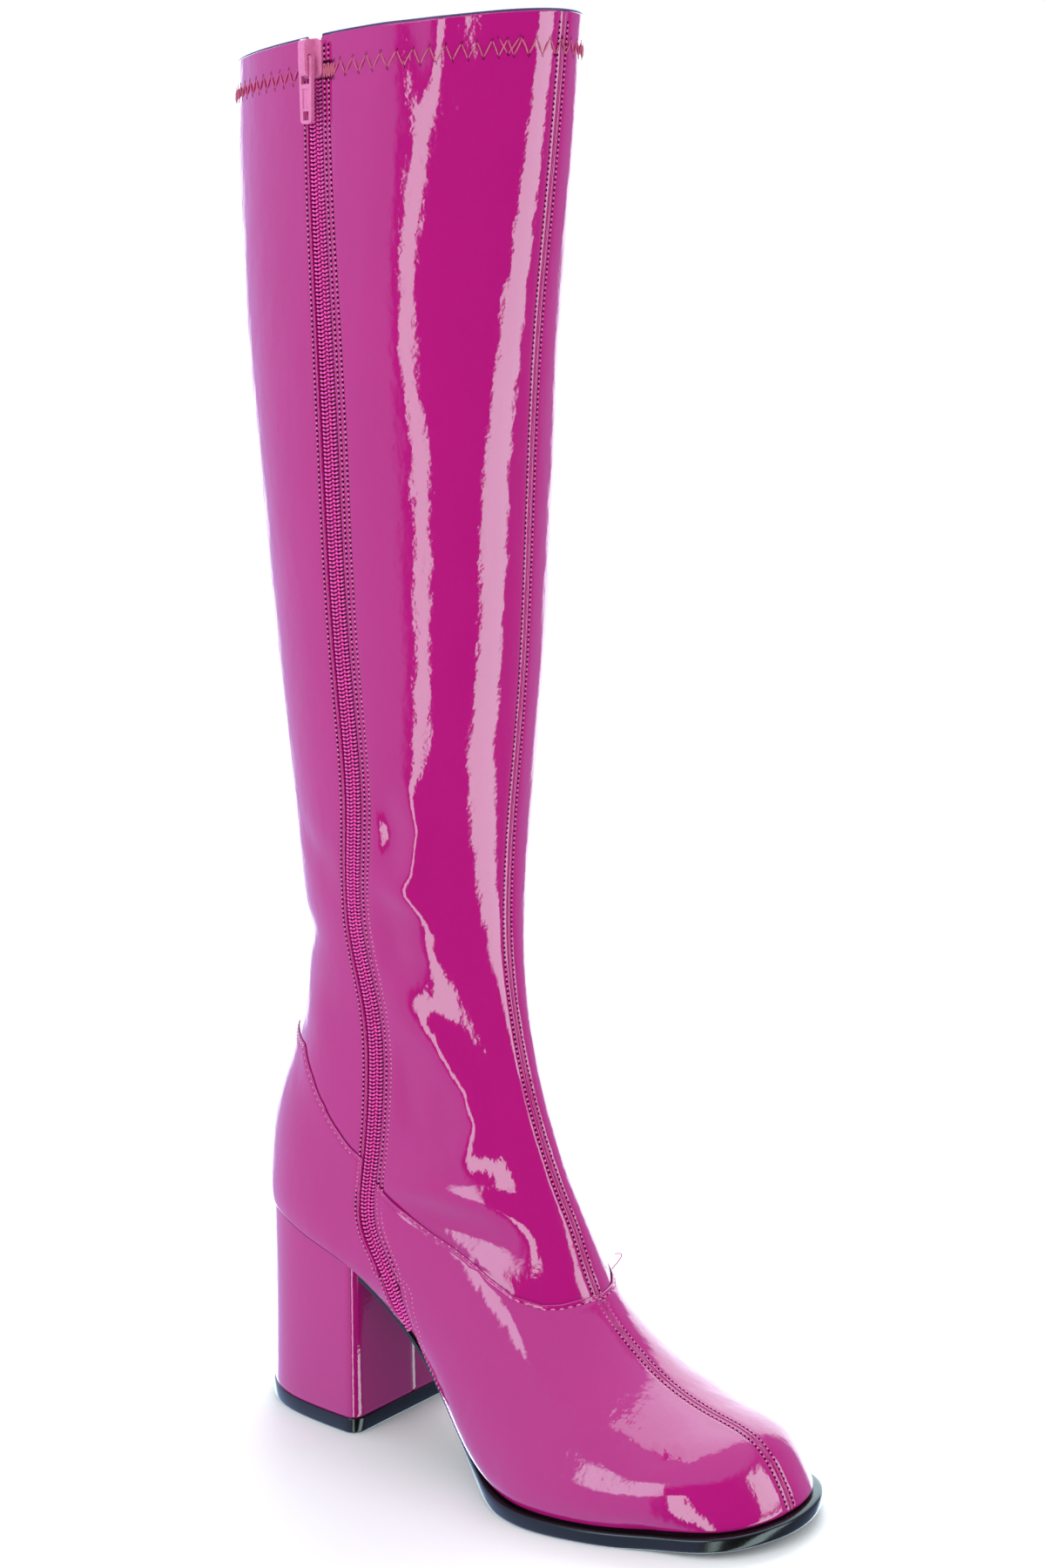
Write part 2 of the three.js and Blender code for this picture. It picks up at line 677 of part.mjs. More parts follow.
// The pull hangs down from its round bar, which lies in the slider's eye.
function makePull() {
  const bar = PULL_THICKNESS / 2;
  const body = new THREE.ExtrudeGeometry(pullShape(), {
    depth: PULL_THICKNESS,
    bevelEnabled: false,
    curveSegments: 4,
  });
  body.translate(0, 0, -PULL_THICKNESS / 2);
  const eyeWidth = PULL_WIDTH - 2 * PULL_ARM;
  const eyeLength = CROWN_LENGTH / 2 + CROWN_HEIGHT / 2;
  const windowWidth = PULL_TIP_WIDTH - 2 * PULL_ARM;
  const windowMiddle = bar - PULL_LENGTH + PULL_ARM + PULL_WINDOW / 2;
  const panelMiddle = windowMiddle + PULL_WINDOW / 2 + PULL_RIB + PULL_PANEL / 2;
  const panel = (height) => block(
    windowWidth, PULL_PANEL, PULL_PANEL_DEPTH * 2, 0, panelMiddle, height,
  );
  const hollow = toSolid(body)
    .subtract(block(PULL_WIDTH * 2, bar * 2, PULL_WIDTH, 0, bar, 0))
    .subtract(block(eyeWidth, eyeLength, PULL_WIDTH, 0, -eyeLength / 2, 0))
    .subtract(block(windowWidth, PULL_WINDOW, PULL_WIDTH, 0, windowMiddle, 0))
    .subtract(panel(PULL_THICKNESS / 2))
    .subtract(panel(-PULL_THICKNESS / 2));
  return hollow.add(rodAcross(bar, PULL_WIDTH - 0.6, 0, 0)).translate(0, 0, PIVOT_HEIGHT);
}

// Materials.
const patent = new THREE.MeshStandardMaterial({ color: 0xa8206f, roughness: 0.12 });
const black = new THREE.MeshStandardMaterial({ color: 0x121013, roughness: 0.25 });
const lining = new THREE.MeshStandardMaterial({ color: 0xb9547f, roughness: 0.8 });
const tapeCloth = new THREE.MeshStandardMaterial({ color: 0xc02c86, roughness: 0.7 });
const coilNylon = new THREE.MeshStandardMaterial({ color: 0xe0409c, roughness: 0.45 });
const paintedMetal = new THREE.MeshStandardMaterial({
  color: 0xcf7fb4,
  roughness: 0.35,
  metalness: 0.4,
});

const boot = new THREE.Group();

function addPiece(name, solid, material, matrix) {
  const mesh = new THREE.Mesh(toGeometry(solid), material);
  mesh.name = name;
  if (matrix) mesh.applyMatrix4(matrix);
  boot.add(mesh);
}

addPiece("upper", makeUpper(), patent);
addPiece("insole", makeInsole(), lining);
addPiece("outsole", makeOutsole(), black);
addPiece("heel", makeHeel(), patent);
addPiece("top_lift", makeTopLift(), black);
addPiece("zip_tape_front", makeTape(1), tapeCloth);
addPiece("zip_tape_back", makeTape(-1), tapeCloth);
addPiece("zip_coil_front", makeCoil(1), coilNylon);
addPiece("zip_coil_back", makeCoil(-1), coilNylon);
addPiece("zip_slider", makeSlider(), paintedMetal, sliderMatrix());
addPiece("zip_pull", makePull(), paintedMetal, sliderMatrix());

export default boot;
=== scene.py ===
# A left go go boot in stretch patent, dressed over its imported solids.
#
# Lengths in the tables and functions are millimetres, and meshes are scaled to metres at the end.
# A place on the upper has two numbers. place counts the sections from the collar, 0, to under the
# toe, 19. turn goes round the boot in degrees: 0 at the back, 90 on the outer side, 180 at the
# front seam and 270 on the inner side, where the zip is.

import math

import bpy
import numpy as np
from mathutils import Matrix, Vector


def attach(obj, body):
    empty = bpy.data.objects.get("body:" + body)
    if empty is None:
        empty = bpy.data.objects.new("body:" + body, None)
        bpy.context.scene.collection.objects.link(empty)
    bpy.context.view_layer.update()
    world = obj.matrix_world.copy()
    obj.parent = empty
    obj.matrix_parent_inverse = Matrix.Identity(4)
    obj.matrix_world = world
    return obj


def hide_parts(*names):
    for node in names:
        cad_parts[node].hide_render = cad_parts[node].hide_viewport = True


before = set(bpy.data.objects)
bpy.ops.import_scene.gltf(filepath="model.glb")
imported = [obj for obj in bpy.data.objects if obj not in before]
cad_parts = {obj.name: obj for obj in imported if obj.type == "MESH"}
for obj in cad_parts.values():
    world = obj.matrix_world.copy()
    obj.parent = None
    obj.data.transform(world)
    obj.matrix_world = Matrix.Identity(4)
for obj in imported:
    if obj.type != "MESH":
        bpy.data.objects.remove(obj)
bpy.ops.object.select_all(action="DESELECT")
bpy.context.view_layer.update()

# Sizes of the foot and leg, the same as the solids'.
FOOT_LENGTH = 218
BALL_WIDTH = 92
INSTEP_HEIGHT = 63
HEEL_HEIGHT = 77.5
SHAFT_HEIGHT = 403
CALF_DEPTH, CALF_WIDTH = 130, 92
ANKLE_DEPTH, ANKLE_WIDTH = 85, 66
LEG_PLACE = 0.264
WALL = 1.8
INSOLE_THICKNESS = 2.6
SOLE_THICKNESS = 4.9
SOLE_LEDGE = 2.7
HEEL_LENGTH = 53.5
HEEL_OVERHANG = 2.6
HEEL_CORNER = 5
HEEL_FLARE = 0.5
HEEL_SET_IN = 0.8
LIFT_HEIGHT = 5.6
LIFT_PROUD = 0.4
GAP = 0.3

# Sizes of the zip and of the sewing.
SLOT_WIDTH = 6.6
COIL_PITCH = 1.3
COIL_DEPTH = 0.75
STITCH_PITCH = 1.65
ZIP_FRONT_ROWS = (1.5, 3.3)
ZIP_BACK_ROWS = (1.3,)
SEAM_ROWS = (1.9,)
VAMP_ROW = 1.6
VAMP_PITCH = 3.0
HEM_MIDDLE = 10.4
HEM_REACH = 2.6
HEM_PITCH = 4.9
HEM_PLACE = 0.2

# From heel to toe: the share of the heel's rise, of the sole's thickness and of its ledge.
SOLE_TABLE = dict(
    rise=[1.0, 0.932, 0.857, 0.777, 0.614, 0.381, 0.12, 0.012, 0.0, 0.0, 0.006, 0.022, 0.05],
    thick=[0.45, 0.45, 0.45, 0.45, 0.45, 0.5, 0.7, 1.0, 1.12, 1.12, 1.04, 1.0, 0.98],
    ledge=[-0.3, -0.3, -0.3, -0.3, -0.3, -0.2, 0.2, 1.25, 1.25, 1.0, 1.0, 1.0, 1.0],
)

# From collar to ankle, as shares of SHAFT_HEIGHT, of what the calf is over the ankle, and of the depth.
SHAFT_TABLE = dict(
    front=[1.0, 0.875, 0.753, 0.62, 0.485, 0.371, 0.277],
    back=[0.964, 0.851, 0.74, 0.615, 0.485, 0.371, 0.267],
    depth=[1.0, 0.861, 0.63, 0.428, 0.25, 0.063, 0.0],
    ahead=[0.5, 0.483, 0.477, 0.486, 0.498, 0.503, 0.505],
    width=[0.68, 0.84, 1.0, 0.96, 0.72, 0.44, 0.0],
    zip=[0.485, 0.522, 0.56, 0.565, 0.565, 0.57, 0.512],
)

# From ankle to toe: front and back ends as shares of FOOT_LENGTH and INSTEP_HEIGHT, widths of BALL_WIDTH.
FOOT_TABLE = dict(
    front=[(0.474, 2.25), (0.502, 1.914), (0.536, 1.636), (0.567, 1.414), (0.596, 1.206), (0.628, 0.955),
           (0.673, 0.779), (0.745, 0.597), (0.851, 0.453), (0.938, 0.341), (0.99, 0.095),
           (0.995, -0.091), (0.928, -0.222)],
    back=[(0.065, 1.173), (0.01, 0.555), (0.0, 0.147), (0.029, -0.161), (0.183, -0.207), (0.351, -0.191),
          (0.495, -0.088), (0.615, -0.083), (0.702, -0.136), (0.76, -0.17), (0.798, -0.189),
          (0.817, -0.208), (0.856, -0.214)],
    width=[0.648, 0.67, 0.705, 0.716, 0.716, 0.75, 0.88, 1.0, 0.955, 0.835, 0.69, 0.62, 0.25],
    middle=[0.45, 0.4, 0.36, 0.34, 0.36, 0.4, 0.34, 0.32, 0.36, 0.42, 0.48, 0.5, 0.5],
    square=[2.0, 2.1, 2.3, 2.5, 2.6, 2.6, 3.0, 3.2, 3.0, 3.2, 3.0, 2.4, 2.0],
    shift=[0.0, 0.0, 0.0, 0.0, 0.0, -0.011, -0.034, -0.042, -0.032, -0.018, -0.005, 0.0, 0.0],
    zip=[0.55, 0.58, 0.542, 0.483, 0.36, 0.14, 0.0, 0.0, 0.0, 0.0, 0.0, 0.0, 0.0],
)

BACK_Y = HEEL_LENGTH / 2 + HEEL_OVERHANG
BREAST_Y = -HEEL_LENGTH / 2
SOLE_END_Y = BREAST_Y - GAP
LEG_Y = BACK_Y - LEG_PLACE * FOOT_LENGTH
TREAD_HEIGHT = SOLE_THICKNESS + GAP
LAST_PLACE = len(SHAFT_TABLE["zip"]) + len(FOOT_TABLE["zip"]) - 1
ZIP_END = 12.2


def curve_through(places, values):
    """A smooth curve through values that stand at places, bent like a thin batten."""
    places = np.asarray(places, float)
    values = np.asarray(values, float)
    steps = np.diff(places)
    count = len(places)
    matrix = np.eye(count)
    pull = np.zeros(count)
    for i in range(1, count - 1):
        matrix[i, i - 1:i + 2] = steps[i - 1] / 6, (steps[i - 1] + steps[i]) / 3, steps[i] / 6
        pull[i] = (values[i + 1] - values[i]) / steps[i] - (values[i] - values[i - 1]) / steps[i - 1]
    bends = np.linalg.solve(matrix, pull)

    def at(place):
        place = np.asarray(place, float)
        i = np.clip(np.searchsorted(places, place, side="right") - 1, 0, count - 2)
        b = (place - places[i]) / steps[i]
        a = 1 - b
        bow = ((a**3 - a) * bends[i] + (b**3 - b) * bends[i + 1]) * steps[i] ** 2 / 6
        return a * values[i] + b * values[i + 1] + bow

    return at


def mix(start, end, share):
    return start + (end - start) * share


def unit(ways):
    """The directions at length 1."""
    return ways / np.linalg.norm(ways, axis=-1, keepdims=True)


def running_length(line):
    """The length up to each point of a line, or of a grid's columns."""
    steps = np.linalg.norm(np.diff(line, axis=0), axis=-1)
    return np.concatenate([np.zeros((1, *steps.shape[1:])), np.cumsum(steps, 0)])


def even_curve(values):
    return curve_through(range(len(values)), values)


def rows_of(table):
    """The rows of a table that is written as columns."""
    return [dict(zip(table, values)) for values in zip(*table.values())]


sole_curves = {key: even_curve(values) for key, values in SOLE_TABLE.items()}


def sole_value(column, y):
    along = np.clip((BACK_Y - np.asarray(y, float)) / FOOT_LENGTH, 0, 1)
    return sole_curves[column](along * (len(SOLE_TABLE[column]) - 1))


def feather_height(y):
    return mix(TREAD_HEIGHT, HEEL_HEIGHT, sole_value("rise", y))


def sole_bottom(y):
    return np.maximum(0, feather_height(y) - GAP - SOLE_THICKNESS * sole_value("thick", y))


def shaft_section(row):
    depth = mix(ANKLE_DEPTH, CALF_DEPTH, row["depth"])
    return dict(
        front_y=LEG_Y - depth * row["ahead"],
        front_z=HEEL_HEIGHT + SHAFT_HEIGHT * row["front"],
        back_y=LEG_Y + depth * (1 - row["ahead"]),
        back_z=HEEL_HEIGHT + SHAFT_HEIGHT * row["back"],
        half=mix(ANKLE_WIDTH, CALF_WIDTH, row["width"]) / 2,
        middle=0.5, square=2.0, shift=0.0, zip=row["zip"],
    )


def foot_section(row):
    front_y = BACK_Y - FOOT_LENGTH * row["front"][0]
    back_y = BACK_Y - FOOT_LENGTH * row["back"][0]
    return dict(
        front_y=front_y,
        front_z=float(feather_height(front_y)) + INSTEP_HEIGHT * row["front"][1],
        back_y=back_y,
        back_z=float(feather_height(back_y)) + INSTEP_HEIGHT * row["back"][1],
        half=BALL_WIDTH * row["width"] / 2,
        middle=row["middle"], square=row["square"], shift=BALL_WIDTH * row["shift"], zip=row["zip"],
    )


sections = [shaft_section(row) for row in rows_of(SHAFT_TABLE)]
sections += [foot_section(row) for row in rows_of(FOOT_TABLE)]
section_curves = {key: even_curve([row[key] for row in sections]) for key in sections[0]}


def base_point(place, turn):
    """Points on the smooth form of the upper, as an array with x, y and z last."""
    place, turn = np.broadcast_arrays(np.asarray(place, float), np.asarray(turn, float))
    row = {key: curve(place) for key, curve in section_curves.items()}
    back = np.stack([row["shift"], row["back_y"], row["back_z"]], -1)
    front = np.stack([row["shift"], row["front_y"], row["front_z"]], -1)
    along, aside = np.cos(np.radians(turn)), np.sin(np.radians(turn))
    power = 2 / np.where(along > 0, row["square"], 2.0)
    reach = np.sign(along) * np.abs(along) ** power
    room = np.where(along > 0, row["middle"], 1 - row["middle"])
    share = (row["middle"] - room * reach)[..., None]
    point = back + (front - back) * share
    point[..., 0] += np.sign(aside) * np.abs(aside) ** power * row["half"]
    return point


def base_normal(place, turn):
    """Directions straight out of the form."""
    place, turn = np.broadcast_arrays(np.asarray(place, float), np.asarray(turn, float))
    small, few = 0.02, 0.7
    below = np.minimum(place + small, LAST_PLACE - 0.001)
    down = base_point(below, turn) - base_point(place - small, turn)
    across = base_point(place, turn + few) - base_point(place, turn - few)
    return unit(np.cross(across, down))


def zip_turn(place):
    """Where the zip's middle line runs. Past its lower end it keeps on under the sole."""
    place = np.asarray(place, float)
    held = np.minimum(place, ZIP_END)
    share = np.clip(section_curves["zip"](held), 0, 1)
    middle = section_curves["middle"](held)
    ahead = share > middle
    room = np.where(ahead, 1 - middle, middle)
    power = np.where(ahead, 1, section_curves["square"](held) / 2)
    reach = np.minimum(np.abs(share - middle) / room, 1) ** power
    return 360 - np.degrees(np.arccos(np.where(ahead, -reach, reach))) + 9 * (place - held)


def turn_speed(place, turn):
    """Millimetres along the surface for each degree of turn."""
    step = base_point(place, turn + 0.5) - base_point(place, turn - 0.5)
    return np.linalg.norm(step, axis=-1)


def zip_side(offset, lap=0):
    """The line beside the zip, at a distance in millimetres. Plus is towards the back. lap is 360
    for a patch that reaches the zip round the back."""
    return lambda place: zip_turn(place) + offset / turn_speed(place, zip_turn(place)) - lap


# The centre-front seam, which wanders a little below the instep.
FRONT_SEAM = [
    (0, 180), (6, 180), (12, 178.8), (13.6, 175.5), (14.6, 177.2), (15.5, 178.2), (16.4, 181.0), (17.3, 183),
    (19, 183),
]
front_turn = curve_through(*zip(*FRONT_SEAM))

# Where vamp and counter lie over the shaft, as turn and place.
VAMP_SEAM = [
    (104, 9.1), (112, 9.58), (117.5, 10.09), (122.5, 10.59), (127.5, 11.23), (133.5, 11.61), (146, 11.89),
    (160.5, 12.1), (176, 12.18), (186.5, 12.12), (203, 12.02), (214, 11.89), (226.5, 11.61), (232.5, 11.23),
    (237.5, 10.59), (242.5, 10.09), (248, 9.58), (256, 8.9),
]
COUNTER_SEAM = [
    (-105, 8.9), (-99.5, 8.66), (-95.5, 8.44), (-88.5, 8.09), (-76, 7.74), (-60, 7.4), (-30, 7.22),
    (0, 7.18), (30, 7.22), (60, 7.4), (76, 7.74), (88.5, 8.09), (95.5, 8.44), (99.5, 8.66), (104, 9.1),
]


def seam_place(turn):
    """The place of the vamp's or counter's top edge, with turn from -110 to 256."""
    turn = np.asarray(turn, float)
    vamp = np.interp(turn, *zip(*VAMP_SEAM))
    counter = np.interp(turn, *zip(*COUNTER_SEAM))
    return np.where(turn > VAMP_SEAM[0][0], vamp, counter)


def find_place(holds, low, high, count):
    """For each of count columns, the place where a test that holds at low stops holding."""
    low = np.full(count, float(low))
    high = np.full(count, float(high))
    for _ in range(32):
        middle = (low + high) / 2
        true = holds(middle)
        low = np.where(true, middle, low)
        high = np.where(true, high, middle)
    return (low + high) / 2


def is_above_feather(place, turn, lift=0.0):
    point = base_point(place, turn)
    return point[..., 2] > feather_height(point[..., 1]) + lift


EDGE_STEPS = [0, 0.12, 0.3, 0.5, 0.75, 1.05, 1.4, 1.8, 2.3, 2.9, 3.7, 4.7]


def spread(count):
    """Columns close together at both ends: the fixed part and the share of the length of each."""
    edges = np.asarray(EDGE_STEPS, float)
    inner = np.linspace(0, 1, count - 2 * len(edges) + 2)[1:-1]
    fixed = np.concatenate([edges, edges[-1] * (1 - 2 * inner), -edges[::-1]])
    share = np.concatenate([np.zeros(len(edges)), inner, np.ones(len(edges))])
    return fixed, share


class Patch:
    """A grid on the upper between two side lines, a top and a bottom."""

    def __init__(self, left, right, top, bottom, columns, rows):
        self.columns = columns
        self.left, self.right = left, right
        self.set_widths()
        start = top(self) if callable(top) else np.full(columns, float(top))
        end = bottom(self) if callable(bottom) else np.full(columns, float(bottom))
        fine = start + (end - start) * np.linspace(0, 1, 160)[:, None]
        length = running_length(base_point(fine, self.turn(fine)))
        fixed, share = spread(rows)
        wanted = fixed[:, None] + share[:, None] * length[-1]
        self.place = np.stack(
            [np.interp(wanted[:, j], length[:, j], fine[:, j]) for j in range(columns)], 1)
        turns = self.turn(self.place)
        self.base = base_point(self.place, turns)
        self.normal = base_normal(self.place, turns)
        self.from_left = running_length(self.base.swapaxes(0, 1)).T
        self.from_right = self.from_left[:, -1:] - self.from_left
        self.from_top = running_length(self.base)
        self.from_bottom = self.from_top[-1:] - self.from_top
        self.uvs = np.stack([self.from_left, self.from_top], -1) / 100

    def set_widths(self):
        """The width of the patch at places from the collar to the toe."""
        self.places = np.linspace(0, LAST_PLACE - 0.05, 190)
        left, right = self.left(self.places), self.right(self.places)
        turns = left[:, None] + (right - left)[:, None] * np.linspace(0, 1, 60)
        lines = base_point(self.places[:, None], turns)
        self.widths = np.linalg.norm(np.diff(lines, axis=1), axis=-1).sum(1)

    def turn(self, place):
        """The turn of each column at a place."""
        fixed, share = spread(self.columns)
        left = self.left(place)
        width = np.interp(place, self.places, self.widths)
        return left + (self.right(place) - left) * (share + fixed / width)


def at_seam(lower=0.0):
    """A patch's edge on the vamp's and counter's seam, or lower, for each of its columns."""
    def solve(patch):
        def is_above(place):
            turn = patch.turn(place)
            turn = np.where(turn > VAMP_SEAM[-1][0] + 1, turn - 360, turn)
            return place < seam_place(turn) + lower

        return find_place(is_above, 6.5, 13.5, patch.columns)

    return solve


def at_feather(lift):
    """A patch's edge where upper and sole meet, or a lift above it."""
    def solve(patch):
        def is_above(place):
            return is_above_feather(place, patch.turn(place), lift)

        return find_place(is_above, 7.6, LAST_PLACE - 0.02, patch.columns)

    return solve


def make_mesh(name, points, faces, uvs=None):
    """A mesh object from millimetre points."""
    mesh = bpy.data.meshes.new(name)
    mesh.from_pydata((np.asarray(points, float) / 1000).tolist(), [], [list(face) for face in faces])
    if uvs is not None:
        layer = mesh.uv_layers.new(name="UVMap")
        corner = np.empty(len(mesh.loops), int)
        mesh.loops.foreach_get("vertex_index", corner)
        layer.data.foreach_set("uv", np.asarray(uvs, float)[corner].ravel())
    mesh.validate()
    mesh.update()
    mesh.polygons.foreach_set("use_smooth", [True] * len(mesh.polygons))
    obj = bpy.data.objects.new(name, mesh)
    bpy.context.scene.collection.objects.link(obj)
    return obj


def grid_faces(rows, columns, closed=False, flip=False):
    faces = []
    for i in range(rows - 1):
        for j in range(columns if closed else columns - 1):
            a = i * columns + j
            b = i * columns + (j + 1) % columns
            face = (a, b, b + columns, a + columns)
            faces.append(face[::-1] if flip else face)
    return faces


def make_grid(name, points, uvs, outwards):
    """A grid of quads that faces the given directions at its middle."""
    rows, columns = points.shape[:2]
    i, j = rows // 2, columns // 2
    one = np.cross(points[i, j + 1] - points[i, j], points[i + 1, j] - points[i, j])
    flip = float(np.dot(one, outwards[i, j])) < 0
    return make_mesh(name, points.reshape(-1, 3), grid_faces(rows, columns, flip=flip), uvs.reshape(-1, 2))


def rolled(distance, radius):
    """How far a folded edge lies under the surface, at a distance from its end."""
    inside = np.clip(radius - distance, 0, radius)
    return radius - np.sqrt(np.maximum(radius**2 - inside**2, 0))


def dent(distance, depth, middle, width):
    return depth * np.exp(-(((distance - middle) / width) ** 2))


# Soft folds and full forms of the patent. Each has its rise in millimetres, minus for a
# trough, how far it spreads, and the line of places and turns that it runs along.
FOLDS = [
    # Full forms of the calf.
    (2.8, 20, [(-0.9, 256), (0.5, 252), (1.5, 247), (2.4, 245)]),
    (-2.4, 19, [(-0.9, 216), (0.5, 214), (1.5, 213), (2.4, 212)]),
    # The notch at the back of the ankle, and the soft waves beside it.
    (-2.0, 7, [(6.2, 300), (6.3, 330), (6.3, 360)]),
    (-0.8, 7, [(5.3, 300), (5.5, 286), (5.9, 276)]),
    (0.9, 9, [(6.9, 305), (7.2, 290), (7.6, 280)]),
    # The bulges over the hem.
    (0.9, 6, [(-0.3, 249), (0.1, 246), (0.5, 244)]),
    (0.6, 5, [(-0.3, 233), (0.1, 231), (0.5, 230)]),
    # The flat front of the ankle, and the creases between it and the zip.
    (-2.8, 19, [(4.6, 212), (5.2, 211), (6.2, 208), (7.2, 202), (8.5, 197), (9.8, 191)]),
    (1.4, 4.5, [(4.8, 236), (5.15, 232), (5.5, 236), (5.7, 242)]),
    (-1.4, 4.5, [(4.9, 247), (5.2, 243), (5.45, 246)]),
    (1.6, 4.5, [(5.6, 250), (5.75, 241), (5.95, 231)]),
    (-1.6, 6, [(5.85, 252), (6.2, 248), (6.6, 249)]),
    (0.6, 3.5, [(6.3, 243), (6.35, 232), (6.4, 222)]),
    # The pouch, which ends in a crest bent like an S.
    (2.3, 6.5, [(6.5, 252), (7.05, 243), (7.4, 230), (8.0, 218), (8.5, 216), (8.95, 224), (9.1, 242)]),
    (-1.3, 5, [(7.5, 243), (8.0, 240), (8.4, 238)]),
    (-1.2, 8, [(6.7, 238), (7.3, 222), (8.0, 206), (8.6, 205)]),
    # The leaf-shaped fold above the vamp, from the zip's lower end.
    (1.9, 5, [(9.35, 247), (9.5, 235), (9.9, 220), (10.7, 204)]),
    (-2.0, 6, [(9.75, 248), (10.1, 236), (10.7, 221)]),
    # The vamp's long hollow and its small bumps.
    (-2.5, 15, [(10.6, 231), (12.0, 216), (13.6, 206)]),
    (1.1, 5.5, [(10.9, 247), (11.4, 240), (12.0, 231), (12.7, 226), (13.4, 218)]),
]


def fold_relief(points):
    """The folds' height at points of the upper."""
    relief = np.zeros(points.shape[:-1])
    for height, width, line in FOLDS:
        turns = np.unwrap([math.radians(turn) for _, turn in line])
        even = np.arange(len(line))
        steps = np.linspace(0, len(line) - 1, 14 * len(line))
        place = np.interp(steps, even, [place for place, _ in line])
        path = base_point(place, np.degrees(np.interp(steps, even, turns)))
        ends = np.sin(np.linspace(0, math.pi, len(steps))) ** 0.6
        best = np.zeros(points.shape[:-1])
        for middle, strength in zip(path, ends):
            near = strength * np.exp(-(((points - middle) ** 2).sum(-1)) / width ** 2)
            best = np.maximum(best, near)
        relief += height * best
    return relief


def dress(patch, height):
    """The patch's points, moved out by a height that changes over it."""
    return patch.base + patch.normal * (height + fold_relief(patch.base))[..., None]


# How a grid grows by a column at each side and a row at the bottom.
TUCKED_EDGES = ((0, 1), (1, 1), (0, 0))
TUCK_DEPTH = 1.3
PANEL_ROLL = 0.9
OVERLAP = 0.5


def tucked(points, normals):
    """The grid with its edges carried on inwards, so that no gap shows beside a seam."""
    points = np.pad(points, TUCKED_EDGES, mode="edge")
    normals = np.pad(normals, TUCKED_EDGES, mode="edge")
    points[:, 0] -= normals[:, 0] * TUCK_DEPTH
    points[:, -1] -= normals[:, -1] * TUCK_DEPTH
    points[-1] -= normals[-1] * TUCK_DEPTH
    return points, normals


def finish_panel(name, patch, height, collar):
    """A panel of the upper with its tucked edges and, at the collar, its turned hem."""
    points, normals = tucked(dress(patch, height), patch.normal)
    uvs = np.pad(patch.uvs, TUCKED_EDGES, mode="edge")
    if collar:
        points, uvs = turn_in_collar(points, normals, uvs)
        normals = np.concatenate([normals[:1]] * len(COLLAR_HEM) + [normals])
    return make_grid(name, points, uvs, normals)


# The hem's way over the collar and down inside it, as depth inwards and rise.
COLLAR_HEM = [
    (0.25, 0.3), (0.6, 0.45), (0.95, 0.45), (1.3, 0.3), (1.55, 0.0), (1.6, -1.0), (1.6, -5.0), (1.65, -11.0),
]


def turn_in_collar(points, normals, uvs):
    """The hem at the collar: over the top edge and down inside it."""
    up = unit(points[0] - points[4])
    rows = [points[0] - normals[0] * depth + up * rise for depth, rise in reversed(COLLAR_HEM)]
    return np.concatenate([np.stack(rows), points]), np.concatenate([np.stack([uvs[0]] * len(rows)), uvs])


def sewn_edge(distance, rows):
    """How far a folded and sewn edge lies down, with a soft trough under each row of stitches."""
    low = rolled(distance, PANEL_ROLL)
    for row in rows:
        low = low + dent(distance, 0.28, row, 0.7)
    return low


def shaft_height(patch, left_rows, right_rows):
    """The shaft's panels: folded edges at seam and zip, the hem, and flat under the vamp."""
    height = -sewn_edge(patch.from_left, left_rows) - sewn_edge(patch.from_right, right_rows)
    height -= dent(patch.from_bottom, 0.35, 0, 2.5)
    height -= dent(patch.from_top, 0.15, HEM_MIDDLE, 2.2)
    return height


def foot_height(patch, left_rows, right_rows):
    """Vamp and counter: they lie over the shaft, and turn in under the last at the sole."""
    height = OVERLAP * np.exp(-((patch.from_top / 9) ** 2)) - 0.8 * rolled(patch.from_top, 0.55)
    height -= dent(patch.from_top, 0.3, VAMP_ROW, 0.7)
    height -= sewn_edge(patch.from_left, left_rows) + sewn_edge(patch.from_right, right_rows)
    height -= 0.9 * rolled(patch.from_bottom, 1.5)
    return height


def side_seam(place):
    """The short seam between vamp and counter on the outer side, where the zip is on the inner."""
    return 360 - zip_turn(place)


zip_front_edge = zip_side(-SLOT_WIDTH / 2)
zip_back_edge = zip_side(SLOT_WIDTH / 2, 360)

# Left and right line, top, bottom, columns, rows, and the height with its rows of stitches.
PANELS = {
    "shaft_inner_panel": (zip_front_edge, front_turn, 0, at_seam(0.06), 120, 330,
                          shaft_height, ZIP_FRONT_ROWS, SEAM_ROWS),
    "shaft_outer_panel": (front_turn, zip_back_edge, 0, at_seam(0.06), 240, 300,
                          shaft_height, SEAM_ROWS, ZIP_BACK_ROWS),
    "vamp_inner": (zip_front_edge, front_turn, at_seam(), at_feather(0.4), 150, 190,
                   foot_height, ZIP_FRONT_ROWS, SEAM_ROWS),
    "vamp_outer": (front_turn, side_seam, at_seam(), at_feather(0.4), 150, 190,
                   foot_height, SEAM_ROWS, SEAM_ROWS),
    "counter": (side_seam, zip_back_edge, at_seam(), at_feather(0.4), 190, 110,
                foot_height, SEAM_ROWS, ZIP_BACK_ROWS),
}


def make_panel(name):
    *edges, height, left_rows, right_rows = PANELS[name]
    patch = Patch(*edges)
    return finish_panel(name, patch, height(patch, left_rows, right_rows), height is shaft_height)


# The lining hangs free of the heel from the second place on, and ends just over the insole.
LINING_FREE, LINING_END = 4, 8.5
LINING_EDGE = SLOT_WIDTH / 2 + 1.2


def make_lining():
    """The knitted lining, seen from above through the collar."""
    patch = Patch(zip_side(-LINING_EDGE), zip_side(LINING_EDGE, 360), 0.04, LINING_END, 130, 120)
    depth = WALL + 1.5 * np.clip(patch.place - LINING_FREE, 0, 1)
    points = patch.base + patch.normal * (fold_relief(patch.base) - depth)[..., None]
    return make_grid("lining", points, patch.uvs, -patch.normal)


